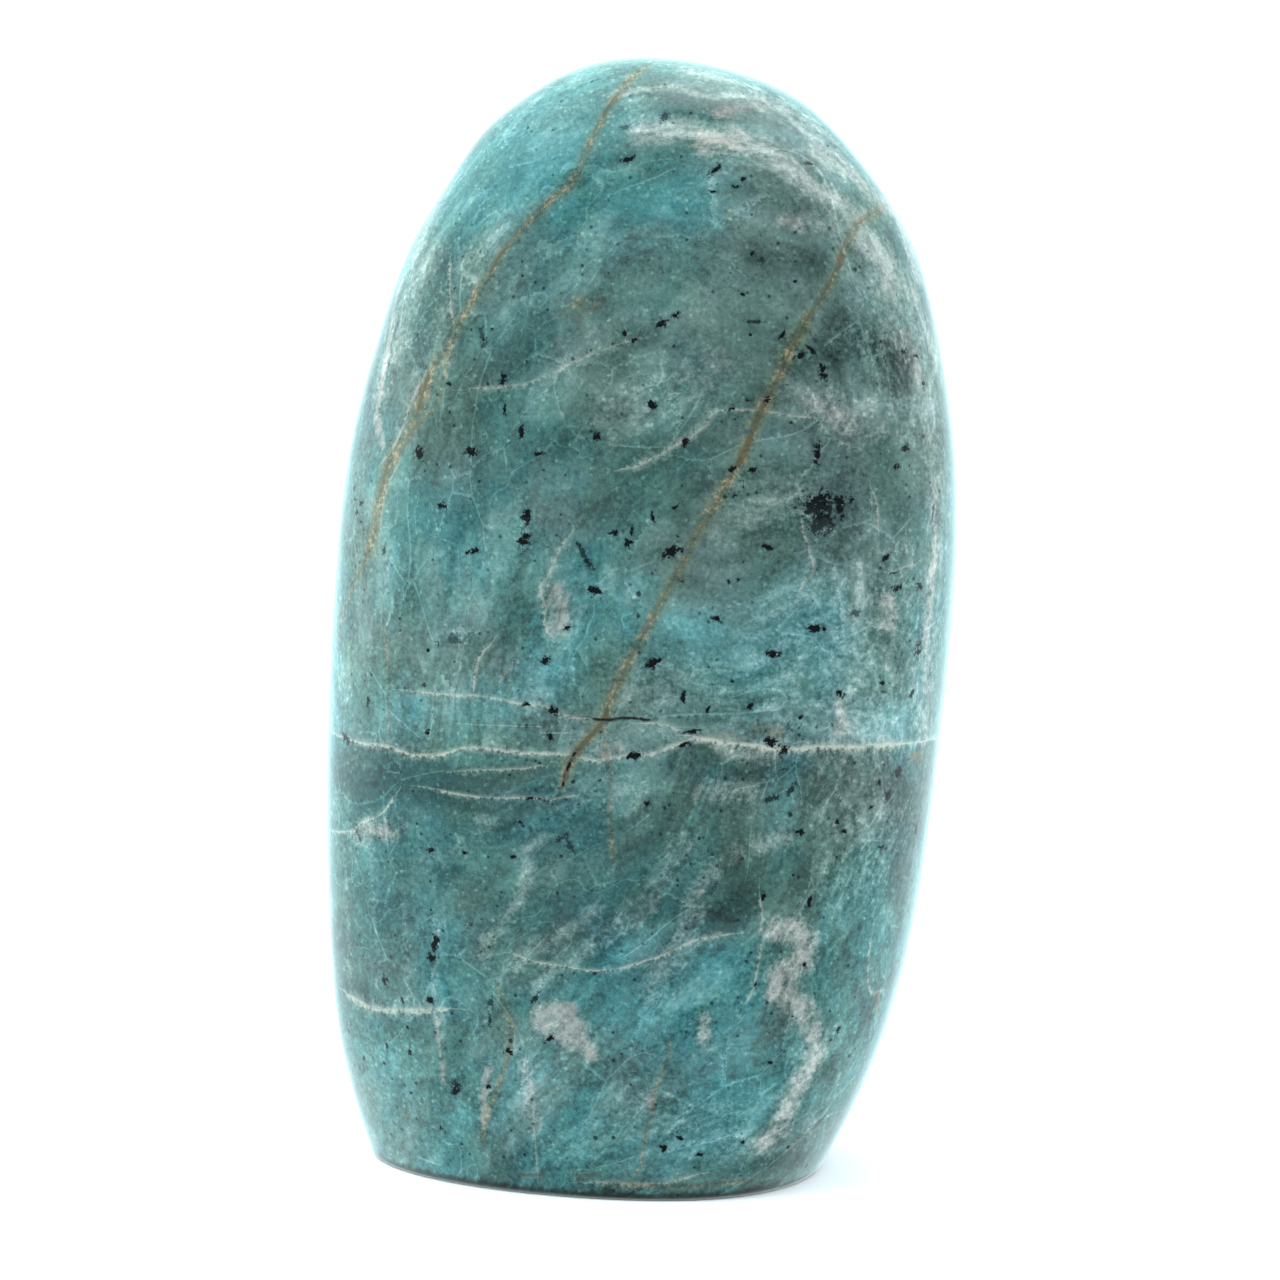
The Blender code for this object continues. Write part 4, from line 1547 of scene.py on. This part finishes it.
@dataclass(frozen=True)
class PolishedAmazonite:
    """Blue-green feldspar with white perthite, ochre seams and black flecks, ground and polished.

    Lengths of noises in the grain's coordinates are in millimetres, and of those in the object's
    own in metres. Gains multiply a noise about zero, or a patch, before all are added up.
    """

    seams: SeamFinish = SeamFinish()
    flecks: FleckFinish = FleckFinish()
    foot: FootFinish = FootFinish()
    roughness: float = 0.18
    crack_roughness: float = 0.3
    fleck_roughness: float = 0.05
    ior: float = 1.53
    sheen: float = 0.8
    sheen_spread: float = 0.3
    sheen_tint: Colour = (0.6, 0.94, 1.0, 1.0)
    streak_lengths: Triple = (1.4, 2.1, 2.1)
    streak_roughness: float = 0.62
    fine_length: float = 0.0007
    fine_roughness: float = 0.78
    detail: float = 3.0
    jolt: float = 1.6
    lump_lengths: Triple = (1.9, 3.0, 3.0)
    cell_length: float = 0.0006
    wall_lengths: Triple = (7.0, 12.0, 12.0)
    streak_break: float = 1.5
    fine_break: float = 0.7
    pale_edge: RaggedEdge = RaggedEdge(1.2, 0.05, 1.6)
    dark_edge: RaggedEdge = RaggedEdge(1.0, -0.1, 1.15)
    bright_edge: RaggedEdge = RaggedEdge(1.0, -0.1, 1.15)
    pink_edge: RaggedEdge = RaggedEdge(1.3, 0.1, 1.3)
    stain_edge: RaggedEdge = RaggedEdge(1.0, 0.1, 1.2)
    streak_gain: float = 0.3
    fine_gain: float = 0.6
    cell_gain: float = 0.06
    lump_gain: float = 0.055
    patch_contrast: float = 0.3
    lightness: float = 0.32
    pale_gain: float = 0.23
    dark_gain: float = -0.21
    bright_gain: float = 0.085
    thread_wander: float = 0.5
    thread_width: float = 0.1
    thread_hues: Pair = (-0.4, 0.8)
    thread_gain: float = 0.15
    wall_edge: Pair = (0.02, 0.004)
    wall_threads: Pair = (-0.2, 1.0)
    wall_gain: float = 0.17
    flakes_kept: Pair = (0.92, 0.96)
    flake_edge: Pair = (0.55, 0.3)
    flake_gain: float = 0.13
    pits_kept: Pair = (0.02, 0.01)
    pit_edge: Pair = (0.5, 0.3)
    pit_gain: float = -0.25
    blue_from: dict[str, float] = field(default_factory=lambda: {
        "hue": 0.5, "bright": 1.3, "grey": -1.5, "pale": -0.8, "streaks": 1.0, "fine": 2.0})
    blue_levels: Pair = (-2.2, 2.2)
    green_from: dict[str, float] = field(default_factory=lambda: {
        "olive": 0.4, "bright": -0.9, "grey": -0.5, "lumps": 1.2, "cell": 1.6, "fine": 2.4})
    green_levels: Pair = (-1.8, 1.9)
    green_share: float = 0.5
    pink_share: float = 0.75
    pale_pink_share: float = 0.4
    stain_share: float = 0.75
    skin_length: float = 0.0012
    skin_detail: float = 1.0
    skin_roughness: float = 0.6
    skin_height: float = 0.25
    bump_strength: float = 0.35
    bump_distance: float = 0.0001
    greys: Ramp = (
        (0.0, linear(33, 46, 45)), (0.2, linear(65, 85, 82)), (0.4, linear(97, 120, 117)),
        (0.55, linear(122, 144, 141)), (0.7, linear(150, 170, 168)), (0.85, linear(180, 194, 193)),
        (1.0, linear(210, 218, 217)))
    turquoises: Ramp = (
        (0.0, linear(20, 52, 57)), (0.2, linear(40, 94, 98)), (0.4, linear(71, 132, 135)),
        (0.55, linear(98, 157, 160)), (0.7, linear(130, 178, 181)), (0.85, linear(164, 199, 201)),
        (1.0, linear(202, 220, 221)))
    greens: Ramp = (
        (0.0, linear(26, 44, 34)), (0.2, linear(50, 86, 72)), (0.4, linear(84, 126, 110)),
        (0.55, linear(112, 150, 134)), (0.7, linear(144, 174, 158)), (0.85, linear(178, 198, 184)),
        (1.0, linear(212, 218, 206)))
    pinks: Ramp = (
        (0.0, linear(108, 110, 103)), (0.4, linear(168, 167, 161)), (0.7, linear(204, 199, 192)),
        (1.0, linear(228, 221, 212)))
    ochres: Ramp = (
        (0.0, linear(80, 70, 46)), (0.5, linear(134, 126, 92)), (1.0, linear(184, 174, 142)))

    def build(self) -> bpy.types.Material:
        """The material, from the mesh's fields and from noise along the grain.

        Returns:
            The material.
        """
        material = bpy.data.materials.new("polished_amazonite_stone")
        material.use_nodes = True
        graph = Graph(material.node_tree)
        surface = graph.tree.nodes["Principled BSDF"]
        noises = self.textures(graph)
        colour, cracked = self.seams.paint(graph, noises, self.mineral(graph, noises))
        colour, flecked = self.flecks.paint(graph, noises, colour)
        colour = self.foot.paint(graph, noises, colour)
        rough = graph.total(self.roughness, graph.times(cracked, self.crack_roughness),
                            graph.times(flecked, self.fleck_roughness))
        sole = self.foot.sole(graph)
        for name, value in (("Base Color", colour), ("IOR", self.ior), ("Sheen Weight", self.sheen),
                            ("Roughness", graph.between(sole, rough, self.foot.roughness)),
                            ("Sheen Roughness", self.sheen_spread), ("Sheen Tint", self.sheen_tint),
                            ("Normal", self.bumped(graph, noises.place, sole))):
            graph.put(surface.inputs[name], value)
        return material

    def textures(self, graph: Graph) -> Textures:
        """Adds the noises that the colours share.

        Args:
            graph: the material's nodes.

        Returns:
            Their outputs.
        """
        place = graph.node("TexCoord", {}).outputs["Object"]
        grain = graph.choice(graph.field("upper_share"), graph.field("grain_lower", "Vector"),
                             graph.field("grain_upper", "Vector"))
        streaks = graph.noise(grain, self.streak_lengths, self.detail, self.streak_roughness)
        fine = graph.noise(place, (self.fine_length,) * 3, self.detail, self.fine_roughness)
        jolted = graph.shifted(grain, fine, self.jolt)
        cell_reach, cell = graph.cells(place, (self.cell_length,) * 3)
        break_up = graph.total(graph.centred(streaks, self.streak_break), graph.centred(fine, self.fine_break))
        return Textures(
            place=place, streaks=streaks, fine=fine, cell=cell, cell_reach=cell_reach, break_up=break_up,
            lumps=graph.cells(jolted, self.lump_lengths)[1],
            wall=graph.cell_wall(jolted, self.wall_lengths))

    def mineral(self, graph: Graph, noises: Textures) -> Socket:
        """Colour of the stone without its seams and flecks.

        How light it is picks a place on each ramp. The grey ramp turns to the turquoise one, and
        that a little to the green one, by smooth steps of weighted sums, and the pink and ochre
        patches are laid over them.

        Args:
            graph: the material's nodes.
            noises: the stone's noises.

        Returns:
            The colour.
        """
        tone, hue, thread = graph.split(graph.field("clouds", "Vector"))
        parts = {
            "tone": tone, "hue": hue, "thread": thread,
            "pale": self.pale_edge.patch(graph, Tone.PALE, noises.break_up),
            "dark": self.dark_edge.patch(graph, Tone.DARK, noises.break_up),
            "bright": self.bright_edge.patch(graph, Tone.BRIGHT, noises.break_up),
            "grey": graph.field(Tone.GREY.value),
            "olive": graph.field("olive"),
        }
        value = self.light(graph, noises, parts)
        blue = graph.step(self.weighted(graph, noises, parts, self.blue_from), *self.blue_levels)
        green = graph.step(self.weighted(graph, noises, parts, self.green_from), *self.green_levels)
        colour = graph.blend(blue, graph.ramp(value, self.greys), graph.ramp(value, self.turquoises))
        colour = graph.blend(graph.times(green, self.green_share), colour, graph.ramp(value, self.greens))
        pink = graph.times(self.pink_edge.patch(graph, Tone.PINK, noises.break_up), self.pink_share)
        pink = graph.math("MAXIMUM", pink, graph.times(parts["pale"], self.pale_pink_share))
        colour = graph.blend(pink, colour, graph.ramp(value, self.pinks))
        stain = graph.times(self.stain_edge.patch(graph, Tone.STAIN, noises.break_up), self.stain_share)
        return graph.blend(stain, colour, graph.ramp(value, self.ochres))

    def weighted(self, graph: Graph, noises: Textures, parts: dict[str, Socket],
                 weights: dict[str, float]) -> Socket:
        """A sum of parts and of noises about zero, each times its weight.

        Args:
            graph: the material's nodes.
            noises: the stone's noises.
            parts: named fields and patches.
            weights: a weight for each part or noise that counts.

        Returns:
            The sum.
        """
        return graph.total(*(graph.times(parts[name], weight) if name in parts
                             else graph.centred(getattr(noises, name), weight)
                             for name, weight in weights.items()))

    def light(self, graph: Graph, noises: Textures, parts: dict[str, Socket]) -> Socket:
        """How light the stone is, as a place on the ramps.

        It is a base, plus the slow clouds, plus the texture, which is stronger in dark and pale
        patches, plus a gain for each patch, pale thread, cell wall, bright flake and dark pit.

        Args:
            graph: the material's nodes.
            noises: the stone's noises.
            parts: the clouds' numbers and the patches.

        Returns:
            The sum of them all.
        """
        times, step = graph.times, graph.step
        texture = self.weighted(graph, noises, {}, {"streaks": self.streak_gain, "fine": self.fine_gain,
                                                    "cell": self.cell_gain, "lumps": self.lump_gain})
        contrast = graph.total(1.0, times(parts["dark"], self.patch_contrast),
                               times(parts["pale"], self.patch_contrast))
        off_thread = graph.math("ABSOLUTE", graph.total(parts["thread"],
                                                        graph.centred(noises.fine, self.thread_wander)))
        threads = times(step(off_thread, self.thread_width, 0.0), step(parts["hue"], *self.thread_hues))
        walls = times(step(noises.wall, *self.wall_edge), step(parts["thread"], *self.wall_threads))
        flakes = times(step(noises.cell, *self.flakes_kept), step(noises.cell_reach, *self.flake_edge))
        pits = times(step(noises.cell, *self.pits_kept), step(noises.cell_reach, *self.pit_edge))
        # The pale and bright gains also lighten the few bands that are painted highlight, painted sheen and
        # painted light.
        return graph.total(
            self.lightness, parts["tone"], times(texture, contrast), times(parts["pale"], self.pale_gain),
            times(parts["dark"], self.dark_gain), times(parts["bright"], self.bright_gain),
            times(threads, self.thread_gain), times(walls, self.wall_gain), times(flakes, self.flake_gain),
            times(pits, self.pit_gain))

    def bumped(self, graph: Graph, place: Socket, sole: Socket) -> Socket:
        """The faint unevenness of the polish, and saw marks on the sole.

        Args:
            graph: the material's nodes.
            place: object coordinates.
            sole: 1 on the sawn sole.

        Returns:
            The surface's direction.
        """
        skin = graph.noise(place, (self.skin_length,) * 3, self.skin_detail, self.skin_roughness)
        height = graph.between(sole, graph.times(skin, self.skin_height), self.foot.saw_marks(graph, place))
        return graph.node("Bump", {"Strength": self.bump_strength, "Distance": self.bump_distance,
                                   "Height": height}).outputs[0]


@dataclass
class AmazoniteStone:
    """The stone: a fine mesh over the CAD solid, with its markings and its polish."""

    form: StoneForm
    camera: Camera
    grain: Grain
    clouds: Clouds
    finish: PolishedAmazonite
    middle: np.ndarray
    waviness: float = 0.06
    wave_length: float = 19.0
    crack_depth: float = 0.12
    seam_depth: float = 0.03
    groove_width: float = 0.4
    strewn: FleckScatter = FleckScatter()
    wave_seed: int = 5
    still_height: float = 3.0
    sole_share: float = 0.1

    def build(self) -> bpy.types.Object:
        """Makes the mesh, writes its fields, adds its relief and dresses it.

        Returns:
            The stone, in place.
        """
        points = self.form.grid(self.middle)
        faces = self.form.faces()
        mesh = bpy.data.meshes.new("polished_stone")
        mesh.from_pydata((points * MM).tolist(), [], faces)
        mesh.shade_smooth()
        normals = np.zeros(len(points) * 3, np.float32)
        mesh.vertices.foreach_get("normal", normals)
        surface = Surface(points, normals.reshape(-1, 3).astype(float), faces, self.camera)
        markings = Markings(surface)
        lines = markings.line_fields(LINES)
        fields = markings.band_fields(BANDS) | lines | markings.fleck_fields(FLECKS + self.strewn.flecks())
        upper, lower = self.grain.upper(points), self.grain.lower(points)
        share = self.grain.upper_share(points, self.split_height(surface))
        clouds = np.where(share[:, None] > HALF, self.clouds.fields(upper), self.clouds.fields(lower))
        clouds[:, 0] -= self.clouds.lower_darkening * (share <= HALF)
        on_sole = points[:, 2] < self.sole_share * self.form.foot_rounding
        fields |= {"olive": self.clouds.olive.at(points), "grain_upper": upper, "grain_lower": lower,
                   "upper_share": share, "clouds": clouds, "sole": on_sole.astype(float)}
        for name, values in fields.items():
            self.write(mesh, name, values)
        raised = points + surface.normals * self.relief(surface, lines)[:, None]
        mesh.vertices.foreach_set("co", (raised * MM).ravel().astype(np.float32))
        mesh.update()
        mesh.materials.append(self.finish.build())
        stone = bpy.data.objects.new("polished_stone", mesh)
        bpy.context.scene.collection.objects.link(stone)
        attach(stone, "root")
        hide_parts(NODE)
        return stone

    def split_height(self, surface: Surface) -> np.ndarray:
        """Height of the main seam above or below each vertex, read along x on the vertex's own side.

        Args:
            surface: the stone's surface.

        Returns:
            Heights in millimetres.
        """
        heights = []
        for route, view in ((MAIN_SEAM, View.FRONT), (MAIN_SEAM_BEHIND, View.BACK)):
            seated = surface.seat(smooth_route(route, surface.route_step), view)
            seated = seated[np.argsort(seated[:, 0])]
            heights.append(np.interp(surface.points[:, 0], seated[:, 0], seated[:, 2]))
        return np.where(surface.points[:, 1] < 0, heights[0], heights[1])

    def relief(self, surface: Surface, lines: dict[str, np.ndarray]) -> np.ndarray:
        """How far each vertex stands out or in.

        Slow noise leaves the polish a little wavy, and seams and cracks are grooves whose depth
        falls off as exp(-(distance / width)^2). Nothing moves on the sole, and little under
        still_height.

        Args:
            surface: the stone's surface.
            lines: the thin lines' fields.

        Returns:
            Heights in millimetres.
        """
        height = self.waviness * GrainNoise(self.wave_seed).at(surface.points, self.wave_length)
        for name, rows in lines.items():
            depth = self.crack_depth if name.startswith(Seam.CRACK.value[0]) else self.seam_depth
            height -= depth * (rows[:, 2] > 0) * np.exp(-((rows[:, 0] / self.groove_width) ** 2))
        return height * smooth_step(0, self.still_height, surface.points[:, 2])

    @staticmethod
    def write(mesh: bpy.types.Mesh, name: str, values: np.ndarray) -> None:
        """Stores one number or one vector for each vertex.

        Args:
            mesh: the mesh.
            name: the name that the material reads them by.
            values: one number or one row of three for each vertex.
        """
        if values.ndim == 1:
            mesh.attributes.new(name, "FLOAT", "POINT").data.foreach_set("value", values.astype(np.float32))
        else:
            layer = mesh.attributes.new(name, "FLOAT_VECTOR", "POINT")
            layer.data.foreach_set("vector", values.astype(np.float32).ravel())


@dataclass(frozen=True)
class Panel:
    """A soft rectangular light that faces the middle of the stone, in metres and watts."""

    name: str
    place: Triple
    size: Pair
    power: float
    mirrored: bool = False
    tint: Triple = (0.9, 0.98, 1.0)
    aim: Triple = (0.0, 0.0, 0.08)

    def build(self) -> None:
        """Adds the light. The polish reflects it only if it is mirrored."""
        light = bpy.data.lights.new(self.name, "AREA")
        light.shape = "RECTANGLE"
        light.size, light.size_y = self.size
        light.energy = self.power
        light.color = self.tint
        lamp = bpy.data.objects.new(self.name, light)
        lamp.location = self.place
        lamp.visible_glossy = self.mirrored
        towards = Vector(self.aim) - Vector(self.place)
        lamp.rotation_euler = towards.to_track_quat("-Z", "Y").to_euler()
        bpy.context.scene.collection.objects.link(lamp)


@dataclass(frozen=True)
class Studio:
    """A plain white floor, large soft lights at both sides, and the picture's camera."""

    floor_side: float = 0.7
    floor_colour: Colour = linear(238, 242, 245)
    floor_roughness: float = 0.9
    floor_shine: float = 0.1
    floor_glow: float = 0.1
    floor_glow_colour: Colour = (0.95, 0.98, 1.0, 1.0)
    sensor: float = 36.0
    clip_start: float = 0.01
    clip_end: float = 20.0
    panels: tuple[Panel, ...] = (
        Panel("left_panel", (-0.66, 0.05, 0.46), (0.7, 0.9), 6.6),
        Panel("right_panel", (0.66, 0.08, 0.50), (0.7, 0.9), 6.6),
        Panel("high_panel", (-0.32, 0.02, 0.80), (0.8, 0.6), 7.2),
        Panel("top_panel", (0.24, -0.06, 0.82), (0.6, 0.6), 2.6, mirrored=True),
        Panel("front_panel", (0.10, -0.95, 0.70), (0.9, 0.6), 0.3),
    )
    backdrop: float = 1.05
    backdrop_colour: Colour = (1.0, 1.0, 1.0, 1.0)
    world_colour: Colour = (0.93, 0.98, 1.0, 1.0)
    world_front: float = 0.12
    world_back: float = 1.2
    world_dark_from: float = -0.55
    world_light_from: float = 0.25

    def build(self, camera: Camera) -> None:
        """Adds the floor, lights, surroundings and camera.

        Args:
            camera: where the picture was taken from.
        """
        self.floor()
        for panel in self.panels:
            panel.build()
        self.surroundings()
        self.place_camera(camera)

    def floor(self) -> None:
        """A flat white sheet under the stone."""
        half = self.floor_side / 2
        corners = [(-half, -half, 0), (half, -half, 0), (half, half, 0), (-half, half, 0)]
        mesh = bpy.data.meshes.new("floor")
        mesh.from_pydata(corners, [], [(0, 1, 2, 3)])
        material = bpy.data.materials.new("white_floor")
        material.use_nodes = True
        shader = material.node_tree.nodes["Principled BSDF"]
        for name, value in (("Base Color", self.floor_colour), ("Roughness", self.floor_roughness),
                            ("Specular IOR Level", self.floor_shine), ("Emission Strength", self.floor_glow),
                            ("Emission Color", self.floor_glow_colour)):
            shader.inputs[name].default_value = value
        mesh.materials.append(material)
        floor = bpy.data.objects.new("floor", mesh)
        floor.visible_glossy = False
        bpy.context.scene.collection.objects.link(floor)

    def surroundings(self) -> None:
        """White to the camera; as light, white from behind and above and dark from the camera's side."""
        world = bpy.data.worlds.new("white_room")
        bpy.context.scene.world = world
        world.use_nodes = True
        graph = Graph(world.node_tree)
        direction = graph.node("TexCoord", {}).outputs["Generated"]
        shade = graph.node("MapRange", {
            "Value": graph.split(direction)[1],
            "From Min": self.world_dark_from,
            "From Max": self.world_light_from,
            "To Min": self.world_front,
            "To Max": self.world_back,
        }, interpolation_type="SMOOTHSTEP").outputs[0]
        light = graph.node("Background", {"Color": self.world_colour, "Strength": shade}).outputs[0]
        seen = graph.node("Background", {"Color": self.backdrop_colour, "Strength": self.backdrop}).outputs[0]
        to_camera = graph.node("LightPath", {}).outputs["Is Camera Ray"]
        both = graph.node("MixShader", {0: to_camera, 1: light, 2: seen}).outputs[0]
        graph.put(graph.tree.nodes["World Output"].inputs["Surface"], both)

    def place_camera(self, camera: Camera) -> None:
        """Stands the camera where the picture was taken from.

        Args:
            camera: that place, and the lens.
        """
        place, _, _, forward = camera.axes(View.FRONT)
        data = bpy.data.cameras.new("camera")
        data.sensor_width = self.sensor
        data.lens = camera.focal_pixels / PICTURE_SIDE * self.sensor
        data.clip_start = self.clip_start
        data.clip_end = self.clip_end
        eye = bpy.data.objects.new("camera", data)
        eye.location = Vector(place * MM)
        eye.rotation_euler = Vector(forward).to_track_quat("-Z", "Y").to_euler()
        bpy.context.scene.collection.objects.link(eye)
        bpy.context.scene.camera = eye
        view = bpy.context.scene.view_settings
        view.view_transform = "Standard"
        view.look = "None"


def main() -> None:
    """Loads the frame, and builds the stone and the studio."""
    logging.basicConfig(level=logging.INFO, format="%(name)s: %(message)s")
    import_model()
    low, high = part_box(NODE)
    middle = np.array([(low.x + high.x) / 2, (low.y + high.y) / 2]) / MM
    camera = Camera()
    stone = AmazoniteStone(StoneForm(height=round(high.z / MM, 3)), camera, Grain(), Clouds(),
                          PolishedAmazonite(), middle)
    built = stone.build()
    LOG.info("%s: %d faces", built.name, len(built.data.polygons))
    Studio().build(camera)
    LOG.info("studio: floor, panels and camera")


if __name__ == "__main__":
    main()
